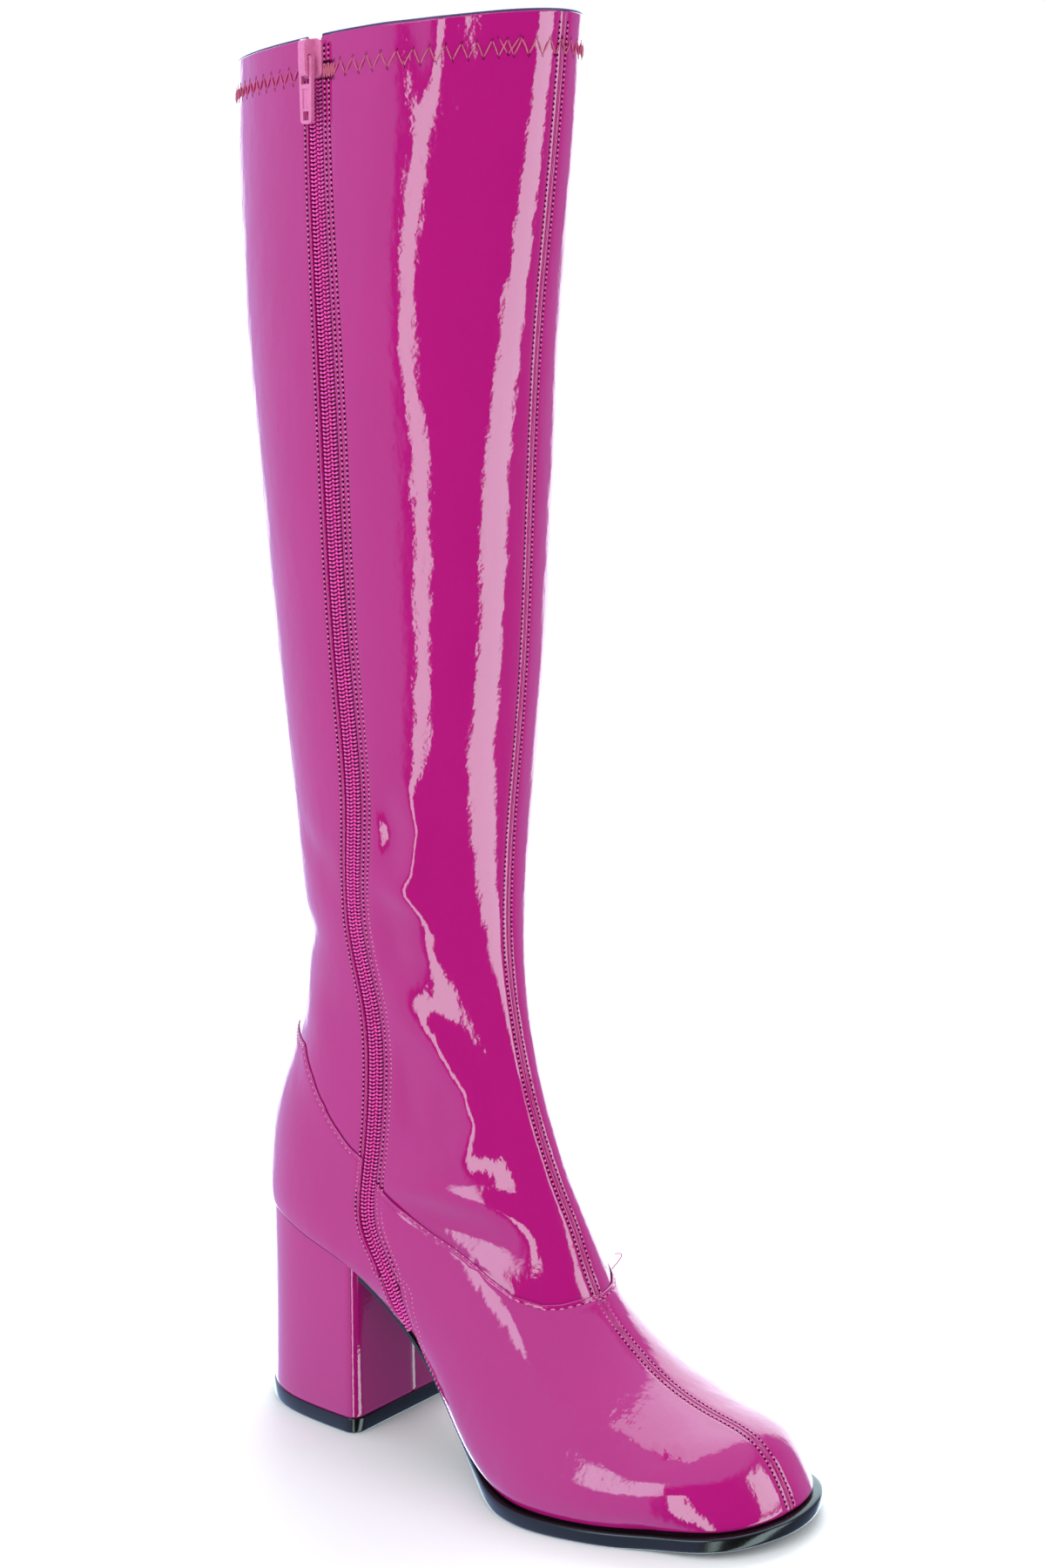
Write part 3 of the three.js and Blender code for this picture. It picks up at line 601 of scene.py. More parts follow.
def feather_outline(count):
    """The line where upper and sole meet, from the back round the outer side to the toe and home."""
    start = find_place(lambda place: is_above_feather(place, 0.0), 6, 11, 1)
    end = find_place(lambda place: is_above_feather(place, 180.0), 14, LAST_PLACE - 0.02, 1)
    places = mix(start, end, (1 - np.cos(np.linspace(0, math.pi, count))) / 2)
    turns = find_place(lambda turn: is_above_feather(places, turn), 180, 0, count)
    outer = base_point(places, turns)[:, :2]
    inner = base_point(places, -turns)[:, :2]
    return np.concatenate([outer, inner[-2:0:-1]])


def resampled(line, count):
    """The closed line with evenly spaced points."""
    whole = np.concatenate([line, line[:1]])
    length = running_length(whole)
    wanted = np.linspace(0, length[-1], count, endpoint=False)
    return np.stack([np.interp(wanted, length, whole[:, axis]) for axis in range(2)], -1)


def grown(outline, distance):
    """The outline moved outwards. distance is a number or one for each point."""
    way = unit(np.roll(outline, -1, 0) - np.roll(outline, 1, 0))
    out = np.stack([way[:, 1], -way[:, 0]], -1)
    middle = outline.mean(0)
    if float(((outline - middle) * out).sum(-1).mean()) < 0:
        out = -out
    return outline + out * np.broadcast_to(distance, len(outline))[:, None]


def close_with_strips(count, first):
    """Faces that close a ring across its width. The ring starts at one end of its long axis."""
    faces = []
    for j in range(count // 2):
        a, b = j, j + 1
        c, d = (count - j - 1) % count, (count - j) % count
        face = [first + k for k in dict.fromkeys((a, b, c, d))]
        if len(face) > 2:
            faces.append(face)
    return faces


def with_all_selected(obj, *steps, **options):
    """Runs mesh operators on the whole of one object, in edit mode."""
    bpy.context.view_layer.objects.active = obj
    bpy.ops.object.mode_set(mode="EDIT")
    bpy.ops.mesh.select_all(action="SELECT")
    for step in steps:
        step(**options)
    bpy.ops.object.mode_set(mode="OBJECT")


def shade_by_angle(obj, degrees):
    obj.select_set(True)
    bpy.ops.object.shade_smooth_by_angle(angle=math.radians(degrees))
    obj.select_set(False)


def make_rings(name, rings):
    """A closed solid through rings of equal counts, closed with strips at both ends."""
    count = len(rings[0])
    points = np.concatenate(rings)
    faces = grid_faces(len(rings), count, closed=True)
    faces += close_with_strips(count, 0)
    faces += [face[::-1] for face in close_with_strips(count, (len(rings) - 1) * count)]
    obj = make_mesh(name, points, faces)
    with_all_selected(obj, bpy.ops.mesh.normals_make_consistent, inside=False)
    shade_by_angle(obj, 38)
    return obj


OUTLINE = feather_outline(700)

# The sole's edge, from under the upper, over the ledge and round to the tread.
SOLE_PROFILE = [
    (-1.6, -0.05), (0.1, -0.02), (0.62, 0.0), (0.84, 0.035), (0.95, 0.1), (1.0, 0.2), (1.01, 0.45),
    (1.0, 0.72), (0.96, 0.86), (0.88, 0.95), (0.72, 1.0), (-0.6, 1.0),
]


def make_outsole():
    front = OUTLINE[OUTLINE[:, 1] < SOLE_END_Y]
    tip = int(np.argmin(front[:, 1]))
    line = resampled(np.concatenate([front[tip:], front[:tip]]), 260)
    line[:, 1] = np.minimum(line[:, 1], SOLE_END_Y)
    rings = []
    for out, down in SOLE_PROFILE:
        ring = grown(line, SOLE_LEDGE * (sole_value("ledge", line[:, 1]) + out - 1))
        ring[:, 1] = np.minimum(ring[:, 1], SOLE_END_Y)
        top = feather_height(ring[:, 1]) - GAP
        height = mix(top, sole_bottom(ring[:, 1]), down)
        rings.append(np.column_stack([ring, height]))
    return make_rings("outsole_edge_finished", rings)


def heel_outline(count):
    """The heel's plan under the seat, starting at the middle of its back."""
    side_end = BREAST_Y + HEEL_CORNER
    x, y = OUTLINE.T
    left = np.argmin(np.where(x < 0, np.abs(y - side_end), np.inf))
    right = np.argmin(np.where(x > 0, np.abs(y - side_end), np.inf))
    corner = np.radians(np.linspace(0, 90, 9))
    down, inn = HEEL_CORNER * np.sin(corner), HEEL_CORNER * (1 - np.cos(corner))
    outer_corner = np.column_stack([x[right] - inn, side_end - down])
    inner_corner = np.column_stack([x[left] + inn, side_end - down])[::-1]
    return resampled(np.concatenate([OUTLINE[:right], outer_corner, inner_corner, OUTLINE[left + 1:]]), count)


# The heel from top to bottom: share of its height, and share of its flare.
HEEL_LEVELS = [
    (1.0, 0.0), (0.97, 0.0), (0.85, 0.0), (0.7, 0.0), (0.55, 0.0), (0.4, 0.1), (0.25, 0.3), (0.1, 0.65),
    (0.03, 0.92), (0.012, 0.95), (0.0, 0.4),
]

# The top lift from top to bottom: height, and how far its side is proud.
LIFT_LEVELS = [
    (LIFT_HEIGHT, -0.25), (LIFT_HEIGHT - 0.12, -0.08), (LIFT_HEIGHT - 0.35, 0), (2.6, 0.05), (0.9, 0),
    (0.45, -0.1), (0.15, -0.35), (0.0, -0.75),
]

# The sock's edge from bottom to top: how far it goes in, and height.
SOCK_LEVELS = [
    (0.0, 0.1), (0.0, INSOLE_THICKNESS - 0.6), (-0.4, INSOLE_THICKNESS - 0.1), (-1.2, INSOLE_THICKNESS),
]


def make_heel():
    outline = heel_outline(240)
    rings = []
    for share, flare in HEEL_LEVELS:
        ring = grown(outline, HEEL_FLARE * flare - HEEL_SET_IN)
        top = feather_height(ring[:, 1]) - GAP
        # The covering's joint stands out a little, down the middle of the breast.
        joint = np.exp(-((ring[:, 0] / 0.45) ** 2)) * (ring[:, 1] < BREAST_Y + 2)
        ring[:, 1] += 0.5 * joint
        rings.append(np.column_stack([ring, mix(LIFT_HEIGHT, top, share)]))
    return make_rings("heel_cover", rings)


def make_top_lift():
    outline = heel_outline(240)
    wide = HEEL_FLARE + LIFT_PROUD - HEEL_SET_IN
    rings = [np.column_stack([grown(outline, wide + out), np.full(len(outline), height)])
             for height, out in LIFT_LEVELS]
    return make_rings("top_lift_edge_finished", rings)


def make_insole():
    inner = grown(resampled(OUTLINE, 300), -(WALL + GAP))
    rings = []
    for inn, height in SOCK_LEVELS:
        ring = grown(inner, inn)
        rings.append(np.column_stack([ring, feather_height(ring[:, 1]) + height]))
    return make_rings("insole_sock", rings)


# Sewing. Each row of stitches follows a line of places and turns.

def down_speed(place, turn):
    """Millimetres down the surface for each step of place."""
    step = base_point(place + 0.05, turn) - base_point(place - 0.05, turn)
    return np.linalg.norm(step, axis=-1) / 0.1


def on_surface(places, turns, lift):
    """Points at a height over the upper, with the directions straight out."""
    points, normals = base_point(places, turns), base_normal(places, turns)
    return points + normals * (fold_relief(points) + lift)[:, None], normals


def even_steps(points, normals, pitch):
    """The line at an even pitch: middles, directions along it and directions out."""
    length = running_length(points)
    count = max(int(length[-1] / pitch), 1)
    ends = np.linspace(0, length[-1], count + 1)
    middles = (ends[1:] + ends[:-1]) / 2

    def at(values, where):
        return np.stack([np.interp(where, length, values[:, k]) for k in range(3)], -1)

    along = unit(np.diff(at(points, ends), axis=0))
    return at(points, middles), along, unit(at(normals, middles))


def model_stitch():
    """One stitch of thread, 1 mm long on Z, with its two ends pulled down into the patent."""
    bpy.ops.mesh.primitive_uv_sphere_add(segments=6, ring_count=5, radius=0.5)
    stitch = bpy.context.active_object
    bpy.ops.object.mode_set(mode="EDIT")
    bpy.ops.mesh.select_all(action="DESELECT")
    bpy.ops.object.mode_set(mode="OBJECT")
    for vertex in stitch.data.vertices:
        vertex.select = abs(vertex.co.z) > 0.35
    bpy.ops.object.mode_set(mode="EDIT")
    bpy.ops.transform.translate(value=(0, -0.45, 0))
    bpy.ops.object.mode_set(mode="OBJECT")
    return stitch


def model_hole():
    """One needle hole: a small dimple, seen from above as a six-sided ring and its floor. Its near-black
    finish is painted shade.
    """
    bpy.ops.mesh.primitive_circle_add(vertices=6, radius=0.5, fill_type="NGON", rotation=(math.pi / 2, 0, 0))
    hole = bpy.context.active_object
    bpy.ops.object.transform_apply(location=False, rotation=True, scale=False)
    with_all_selected(hole, bpy.ops.mesh.inset, thickness=0.2, depth=0.08)
    return hole


def taken(template):
    """A template's points and faces. The template itself is deleted."""
    points = np.array([vertex.co[:] for vertex in template.data.vertices])
    faces = [tuple(face.vertices) for face in template.data.polygons]
    bpy.data.objects.remove(template)
    return points, faces


def repeated(name, shape, middles, along, out, size):
    """Copies of a shape in one mesh. size is its width, height and length at each place."""
    points, faces = shape
    side = unit(np.cross(out, along))
    up = np.cross(along, side)
    size = np.broadcast_to(np.asarray(size, float), (len(middles), 3))
    scaled = points[None] * size[:, None]
    placed = (middles[:, None] + scaled[..., :1] * side[:, None]
              + scaled[..., 1:2] * up[:, None] + scaled[..., 2:] * along[:, None])
    count = len(points)
    all_faces = [[k + i * count for k in face] for i in range(len(middles)) for face in faces]
    return make_mesh(name, placed.reshape(-1, 3), all_faces)


STITCH = taken(model_stitch())
HOLE = taken(model_hole())
THREAD = 0.66
TUBE_SIDES = 6


def sewn_row(name, places, turns, pitch=STITCH_PITCH, lift=-0.2, thread=THREAD):
    """A row of lockstitch with its needle holes."""
    points, normals = on_surface(places, turns, lift)
    middles, along, out = even_steps(points, normals, pitch)
    stitches = repeated(name, STITCH, middles + out * 0.16, along, out, (thread, thread, pitch * 0.6))
    ends = middles - along * (pitch / 2) + out * 0.09
    holes = repeated(name + "_holes", HOLE, ends, along, out, (thread * 1.35, 1.0, thread * 1.35))
    return stitches, holes


def beside_front(offset):
    """The line beside the front seam. Plus is towards the inner side."""
    return lambda place: front_turn(place) + offset / turn_speed(place, front_turn(place))


def last_place(side):
    """Where a line beside seam or zip goes under the sole."""
    def is_above(place):
        return is_above_feather(place, side(place), 1.2)

    return float(find_place(is_above, 7.6, LAST_PLACE - 0.1, 1)[0])


def make_seam_rows():
    edge = SLOT_WIDTH / 2
    lines = [("front_seam_inner_row", beside_front(SEAM_ROWS[0])),
             ("front_seam_outer_row", beside_front(-SEAM_ROWS[0]))]
    lines += [(f"zip_front_row_{i + 1}", zip_side(-(edge + row))) for i, row in enumerate(ZIP_FRONT_ROWS)]
    lines += [("zip_back_row", zip_side(edge + ZIP_BACK_ROWS[0]))]
    rows = []
    for name, side in lines:
        places = np.linspace(0.06, last_place(side), 900)
        rows += sewn_row(name, places, side(places))
    return rows


def seam_line(start, end):
    """The line of the stitches below the vamp's or counter's top edge."""
    turns = np.linspace(start, end, 500)
    places = seam_place(turns)
    return places + VAMP_ROW / down_speed(places, turns), turns


def make_overlap_rows():
    zip_front = float(zip_turn(9.05)) - 7
    rows = []
    rows += sewn_row("vamp_row", *seam_line(106, zip_front), pitch=VAMP_PITCH, lift=0.15, thread=0.6)
    rows += sewn_row("counter_row", *seam_line(-101, 102), pitch=2.2, lift=0.15)
    return rows


def zigzag(name, start, end, pitch, middle, reach, thread=0.55):
    """Zigzag thread round the hem, between two turns, at a distance below the collar."""
    turns = np.linspace(start, end, 2400)
    length = running_length(base_point(HEM_PLACE, turns))
    count = int(length[-1] / (pitch / 2))
    corner_turns = np.interp(np.linspace(0, length[-1], count), length, turns)
    drop = middle + reach * np.where(np.arange(count) % 2 == 0, 1, -1)
    corner_places = drop / down_speed(HEM_PLACE, corner_turns)
    points, normals = on_surface(corner_places, corner_turns, -0.1)
    legs = np.diff(points, axis=0)
    long = np.linalg.norm(legs, axis=-1)
    along = legs / long[:, None]
    out = unit(normals[:-1] + normals[1:])
    size = np.column_stack([np.full(len(long), thread), np.full(len(long), thread), long * 1.04])
    middles = (points[:-1] + points[1:]) / 2 + out * 0.2
    row = repeated(name, STITCH, middles, along, out, size)
    hole_along = np.concatenate([along, along[-1:]])
    hole_size = (thread * 1.3, 1.0, thread * 2.6)
    return row, repeated(name + "_holes", HOLE, points + normals * 0.12, hole_along, normals, hole_size)


def make_hem_rows():
    edge = SLOT_WIDTH / 2
    first = float(zip_side(edge + 1.5, 360)(HEM_PLACE))
    last = float(zip_side(-edge - 5.5)(HEM_PLACE))
    tack_end = float(zip_side(-edge - 1.2)(HEM_PLACE))
    rows = []
    rows += zigzag("hem_zigzag", first, last, HEM_PITCH, HEM_MIDDLE, HEM_REACH)
    rows += zigzag("hem_tack", last - 0.5, tack_end, 0.95, HEM_MIDDLE + 0.4, 2.5, thread=0.62)
    rows += zigzag("hem_overlap", 197, 210, HEM_PITCH, HEM_MIDDLE - 0.5, HEM_REACH, thread=0.5)
    return rows


def make_tube(name, points, radius):
    """A thin six-sided tube through millimetre points, closed at both ends."""
    along = unit(np.gradient(points, axis=0))
    side = unit(np.cross(along, np.array([0.31, 0.17, 0.93])))
    up = np.cross(side, along)
    angle = np.linspace(0, 2 * math.pi, TUBE_SIDES, endpoint=False)[None, :, None]
    rings = points[:, None] + radius * (np.cos(angle) * side[:, None] + np.sin(angle) * up[:, None])
    faces = grid_faces(len(points), TUBE_SIDES, closed=True, flip=True)
    end = len(points) * TUBE_SIDES - 1
    faces += [tuple(range(TUBE_SIDES)), tuple(range(end, end - TUBE_SIDES, -1))]
    return make_mesh(name, rings.reshape(-1, 3), faces)


def make_collar_edge():
    """A thin dark violet tube round the top of the turned hem."""
    edge = SLOT_WIDTH / 2 + 0.4
    turns = np.linspace(float(zip_side(edge, 360)(0.0)), float(zip_side(-edge)(0.0)), 700)
    points, _ = on_surface(np.zeros(700), turns, -0.95)
    up = unit(base_point(-0.02, turns) - base_point(0.02, turns))
    return make_tube("collar_edge", points + up * 0.45, 0.62)


def make_thread_end():
    """The vamp thread's end, left as a small loop on the outer side."""
    start, normal = on_surface(np.array([11.87]), np.array([147.0]), 0.5)
    step = np.linspace(0, 1, 16)[:, None]
    swing = np.sin(step * math.pi) * 2.6
    end, aside = np.array([[0.5, -0.9, 5.5]]), np.array([[0.8, 0.4, 0]])
    path = start + normal * (0.2 + swing) + end * step + aside * swing
    return make_tube("thread_end", path, 0.2)


# The beads of one turn of coil, on each side: distance from the middle, slant and size.
COIL_BEADS = {
    "coil_inner": (0.72, 0.75, (0.8, 1.0, 1.7)),
    "coil_outer": (2.1, -0.5, (0.8, 1.0, 1.6)),
}


def make_coils():
    """The two rows of coil. Each turn shows as two slanting bulges beside the thread that holds it."""
    places = np.linspace(0.1, last_place(zip_turn) - 0.15, 900)
    points, normals = on_surface(places, zip_turn(places), 0)
    middles, along, out = even_steps(points, normals, COIL_PITCH)
    across = np.cross(along, out)
    for side, way, half_pitch in (("front", -1, 0), ("back", 1, COIL_PITCH / 2)):
        # One row sits half a pitch lower, so that the two sides mesh.
        row = middles + along * half_pitch - out * COIL_DEPTH
        for name, (reach, slant, size) in COIL_BEADS.items():
            lie = unit(across * way + along * slant)
            yield repeated(f"{name}_{side}", STITCH, row + across * way * reach, lie, out, size)


def join_facets():
    bpy.ops.mesh.remove_doubles(threshold=0.00001)
    bpy.ops.mesh.dissolve_limited(angle_limit=math.radians(4))


def merged_copy(node, name, bevel):
    """A copy of a solid with its facets joined and its edges rounded."""
    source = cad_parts[node]
    piece = source.copy()
    piece.data = source.data.copy()
    piece.name = name
    piece.parent = None
    bpy.context.scene.collection.objects.link(piece)
    piece.matrix_world = source.matrix_world.copy()
    with_all_selected(piece, join_facets)
    rounding = piece.modifiers.new("rounding", "BEVEL")
    rounding.width = bevel / 1000
    rounding.segments = 3
    rounding.limit_method = "ANGLE"
    rounding.angle_limit = math.radians(32)
    bpy.ops.object.modifier_apply(modifier=rounding.name)
    shade_by_angle(piece, 40)
    return piece


# Materials.

def link(tree, source, target):
    tree.links.new(source, target)


def math_node(tree, kind, first, second=None):
    node = tree.nodes.new("ShaderNodeMath")
    node.operation = kind
    for socket, value in zip(node.inputs, (first, second)):
        if isinstance(value, (int, float)):
            socket.default_value = value
        elif value is not None:
            link(tree, value, socket)
    return node.outputs[0]


def plus(tree, first, second):
    return math_node(tree, "ADD", first, second)


def minus(tree, first, second):
    return math_node(tree, "SUBTRACT", first, second)


def times(tree, first, second):
    return math_node(tree, "MULTIPLY", first, second)


def object_place(tree):
    return tree.nodes.new("ShaderNodeTexCoord").outputs["Object"]


def noise(tree, vector, scale, detail=2.0, stretch=None):
    if stretch is not None:
        mapping = tree.nodes.new("ShaderNodeMapping")
        mapping.inputs["Scale"].default_value = stretch
        link(tree, vector, mapping.inputs["Vector"])
        vector = mapping.outputs[0]
    node = tree.nodes.new("ShaderNodeTexNoise")
    node.inputs["Scale"].default_value = scale
    node.inputs["Detail"].default_value = detail
    link(tree, vector, node.inputs["Vector"])
    return node.outputs["Fac"]


def new_group(name, inputs, outputs):
    group = bpy.data.node_groups.new(name, "ShaderNodeTree")
    for label, kind, value in inputs:
        socket = group.interface.new_socket(label, in_out="INPUT", socket_type=kind)
        if value is not None:
            socket.default_value = value
    for label, kind in outputs:
        group.interface.new_socket(label, in_out="OUTPUT", socket_type=kind)
    return group, group.nodes.new("NodeGroupInput"), group.nodes.new("NodeGroupOutput")


def spread_value(tree, value, low, high):
    """A value from 0 to 1 set to run from low to high."""
    node = tree.nodes.new("ShaderNodeMapRange")
    node.inputs["To Min"].default_value = low
    node.inputs["To Max"].default_value = high
    link(tree, value, node.inputs["Value"])
    return node.outputs[0]


def build_shade_group():
    """Uneven colour: a base colour, lighter and darker in soft clouds, and the clouds themselves."""
    group, given, result = new_group(
        "uneven_colour",
        [("Color", "NodeSocketColor", None), ("Scale", "NodeSocketFloat", 40.0),
         ("Amount", "NodeSocketFloat", 0.1)],
        [("Color", "NodeSocketColor"), ("Clouds", "NodeSocketFloat")])
    clouds = group.nodes.new("ShaderNodeTexNoise")
    clouds.inputs["Detail"].default_value = 3
    link(group, object_place(group), clouds.inputs["Vector"])
    link(group, given.outputs["Scale"], clouds.inputs["Scale"])
    shift = times(group, minus(group, clouds.outputs["Fac"], 0.5), given.outputs["Amount"])
    value = plus(group, times(group, shift, 2.0), 1.0)
    hue = group.nodes.new("ShaderNodeHueSaturation")
    link(group, given.outputs["Color"], hue.inputs["Color"])
    link(group, value, hue.inputs["Value"])
    link(group, hue.outputs[0], result.inputs["Color"])
    link(group, clouds.outputs["Fac"], result.inputs["Clouds"])
    return group


def build_weave_group():
    """Threads that cross, as a height. Warp and Weft are threads to the metre."""
    group, given, result = new_group(
        "weave_height",
        [("Vector", "NodeSocketVector", None), ("Warp", "NodeSocketFloat", 1200.0),
         ("Weft", "NodeSocketFloat", 1200.0)],
        [("Height", "NodeSocketFloat")])
    split = group.nodes.new("ShaderNodeSeparateXYZ")
    link(group, given.outputs["Vector"], split.inputs[0])
    waves = []
    for axis, count in enumerate(("Warp", "Weft")):
        turns = times(group, split.outputs[axis], given.outputs[count])
        waves.append(math_node(group, "SINE", times(group, turns, 2 * math.pi)))
    crossed = times(group, *waves)
    link(group, plus(group, times(group, crossed, 0.5), 0.5), result.inputs["Height"])
    return group


shade_group = build_shade_group()
weave_group = build_weave_group()


class Finish:
    """A material with its Principled shader."""

    def __init__(self, name, color, roughness, clouds=(40.0, 0.1), **sockets):
        self.material = bpy.data.materials.new(name)
        self.material.use_nodes = True
        self.tree = self.material.node_tree
        self.shader = self.tree.nodes["Principled BSDF"]
        self.shader.inputs["Roughness"].default_value = roughness
        for socket, value in sockets.items():
            self.shader.inputs[socket.replace("_", " ")].default_value = value
        self.shade = self.tree.nodes.new("ShaderNodeGroup")
        self.shade.node_tree = shade_group
        self.shade.inputs["Color"].default_value = (*color, 1)
        self.shade.inputs["Scale"].default_value, self.shade.inputs["Amount"].default_value = clouds
        link(self.tree, self.shade.outputs["Color"], self.shader.inputs["Base Color"])

    def rough_clouds(self, low, high):
        clouds = spread_value(self.tree, self.shade.outputs["Clouds"], low, high)
        link(self.tree, clouds, self.shader.inputs["Roughness"])

    def relief(self, height, distance):
        """Adds a height in metres to the bumps that the shader has so far."""
        bump = self.tree.nodes.new("ShaderNodeBump")
        bump.inputs["Strength"].default_value = 1.0
        bump.inputs["Distance"].default_value = distance
        link(self.tree, height, bump.inputs["Height"])
        if self.shader.inputs["Normal"].is_linked:
            link(self.tree, self.shader.inputs["Normal"].links[0].from_socket, bump.inputs["Normal"])
        link(self.tree, bump.outputs[0], self.shader.inputs["Normal"])

    def weave(self, vector, warp, weft, distance):
        node = self.tree.nodes.new("ShaderNodeGroup")
        node.node_tree = weave_group
        node.inputs["Warp"].default_value, node.inputs["Weft"].default_value = warp, weft
        link(self.tree, vector, node.inputs["Vector"])
        self.relief(node.outputs[0], distance)


def make_finish(name, color, roughness, clouds, bumps, gloss=None, **sockets):
    """A finish with even or uneven gloss and bumps, each as scale, detail, metres and stretch."""
    finish = Finish(name, color, roughness, clouds, **sockets)
    if gloss:
        finish.rough_clouds(*gloss)
    place = object_place(finish.tree)
    for scale, detail, height, *stretch in bumps:
        finish.relief(noise(finish.tree, place, scale, detail, *stretch), height)
    return finish.material


def make_patent(name, wave):
    """Mirror-gloss stretch patent over knit: fine ripple from the knit and long soft waves."""
    bumps = [(620, 1.0, 0.00004), (110, 2.0, 0.0003 * wave, (1, 1, 0.5)),
             (34, 1.0, 0.0006 * wave, (1, 1, 0.55))]
    return make_finish(name, (0.372, 0.0065, 0.155), 0.05, (25.0, 0.05), bumps, (0.035, 0.085))


def make_thread(name, color):
    return make_finish(name, color, 0.5, (300.0, 0.35), [(3000, 1.0, 0.00006)])


def make_nylon(name, color):
    return make_finish(name, color, 0.34, (400.0, 0.25), [(2500, 1.0, 0.00004)])


def make_knit():
    finish = Finish("knit_lining", (0.42, 0.07, 0.20), 0.85, clouds=(90.0, 0.2), Sheen_Weight=0.3)
    uv = finish.tree.nodes.new("ShaderNodeTexCoord").outputs["UV"]
    finish.weave(uv, 110.0, 80.0, 0.00025)
    return finish.material


def make_tape_cloth():
    # Partly the tape's own dark magenta and partly painted shade: the colour is made darker still to stand
    # for the shade in the zip's slot.
    finish = Finish("woven_zip_tape", (0.15, 0.003, 0.05), 0.7, clouds=(200.0, 0.3))
    place = object_place(finish.tree)
    split = finish.tree.nodes.new("ShaderNodeSeparateXYZ")
    join = finish.tree.nodes.new("ShaderNodeCombineXYZ")
    link(finish.tree, place, split.inputs[0])
    link(finish.tree, split.outputs[1], join.inputs[0])
    link(finish.tree, split.outputs[2], join.inputs[1])
    finish.weave(join.outputs[0], 1500.0, 900.0, 0.00015)
    return finish.material


finishes = {
    "patent": make_patent("magenta_patent", 1.0),
    "heel_patent": make_patent("magenta_patent_on_heel", 0.35),
    "black": make_finish("black_polished_rubber", (0.005, 0.0045, 0.0045), 0.16, (60.0, 0.3),
                         [(900, 2.0, 0.00003), (60, 2.0, 0.00012)], (0.10, 0.26), Specular_IOR_Level=0.3),
    "thread": make_thread("rose_thread", (0.62, 0.16, 0.36)),
    "hem_thread": make_thread("dull_rose_thread", (0.44, 0.08, 0.14)),
    "knit": make_knit(),
    "tape": make_tape_cloth(),
    "coil": make_nylon("pink_nylon_coil", (0.82, 0.06, 0.42)),
    "coil_thread": make_nylon("pale_coil_thread", (0.78, 0.10, 0.46)),
    "lacquer": make_finish("pink_lacquered_metal", (0.60, 0.15, 0.33), 0.28, (350.0, 0.12),
                           [(1400, 2.0, 0.00003)], (0.2, 0.36)),
    # The needle holes' near-black colour, with no specular, is painted shade inside the holes.
    "hole": make_finish("needle_hole", (0.030, 0.001, 0.010), 0.8, (300.0, 0.3),
                        [(2000, 1.0, 0.00005)], Specular_IOR_Level=0.0),
    "violet": make_finish("dark_violet_edge", (0.02, 0.006, 0.05), 0.45, (200.0, 0.3),
                          [(1500, 2.0, 0.00008)]),
}


def fit(piece, finish, slot, *nodes, body="boot"):
    """Gives a piece its finish and its body, and hides the solids that it stands for. slot is not used."""
    piece.data.materials.clear()
    piece.data.materials.append(finishes[finish])
    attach(piece, body)
    if nodes:
        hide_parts(*nodes)


for panel_name in PANELS:
    fit(make_panel(panel_name), "patent", "patent", "upper")
fit(make_lining(), "knit", "lining")
fit(make_insole(), "knit", "lining", "insole")
fit(make_outsole(), "black", "sole", "outsole")
fit(make_heel(), "heel_patent", "patent", "heel")
fit(make_top_lift(), "black", "sole", "top_lift")
fit(make_collar_edge(), "violet", "patent")
fit(make_thread_end(), "thread", "zip_tape")
# The holes get the near-black painted shade, the stitches the thread.
for piece in make_seam_rows() + make_overlap_rows():
    fit(piece, "hole" if piece.name.endswith("holes") else "thread", "zip_tape")
for piece in make_hem_rows():
    fit(piece, "hole" if piece.name.endswith("holes") else "hem_thread", "zip_tape")
for piece in make_coils():
    name, side = piece.name.rsplit("_", 1)
    fit(piece, "coil" if name == "coil_inner" else "coil_thread", "zip_coil", f"zip_coil_{side}")
fit(merged_copy("zip_slider", "slider_with_crown", 0.3), "lacquer", "zip_metal", "zip_slider")
fit(merged_copy("zip_pull", "pull_tab", 0.22), "lacquer", "zip_metal", "zip_pull", body="pull")
# The tapes get the woven finish, which is darkened with painted shade.
for node in ("zip_tape_front", "zip_tape_back"):
    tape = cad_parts[node]
    for slot in tape.material_slots:
        slot.material = finishes["tape"]

# Camera, floor and studio light.
camera_data = bpy.data.cameras.new("camera")
camera = bpy.data.objects.new("camera", camera_data)
bpy.context.scene.collection.objects.link(camera)
camera.location = (-0.7230, -0.6491, 0.4269)
camera.rotation_euler = (math.radians(78.2), 0, math.radians(-51.6))
camera_data.lens = 65.4
camera_data.sensor_width = 36
camera_data.clip_start = 0.01
bpy.context.scene.camera = camera
bpy.context.scene.view_settings.view_transform = "Standard"

# The studio's own directions: azimuth 0 is in front of the inner side, plus is to the right of it.
STUDIO_TURN = 141.6

# What a light box takes, in degrees but for the lean, which is a share of the elevation, and the power.
BOX_SOCKETS = ("Middle", "Half Width", "Lean", "Low", "High", "Soft", "Power")
LIGHT_BOXES = [
    (-180, 34, 0, -95, 95, 6, 2.6),
    (180, 38, 0, -95, 95, 4, 3.0),
    (-2, 6.0, 0, -60, 17, 1.3, 7.5),
    (67, 13, 0.45, -60, 9, 1.5, 7.5),
    (68, 13, 0.45, 12, 34, 2.5, 7.0),
    (-29, 14, 0, 16, 50, 3.0, 6.0),
]
CEILING = (0, 400, 0, 41, 200, 6, 1.45)

# The walls' brightness by azimuth.
WALLS = [
    (-180, 0.5), (-152, 0.8), (-138, 1.4), (-60, 1.6), (-22, 1.35), (-12, 0.05), (47, 0.03), (75, 0.3),
    (100, 0.5), (132, 0.7), (146, 0.6), (180, 0.5),
]
WALL_POWER = 4.0
WALL_COLOR = (0.62, 0.8, 1.35, 1)
BOX_COLOR = (0.78, 1.0, 1.0, 1)
DEGREES = 180 / math.pi


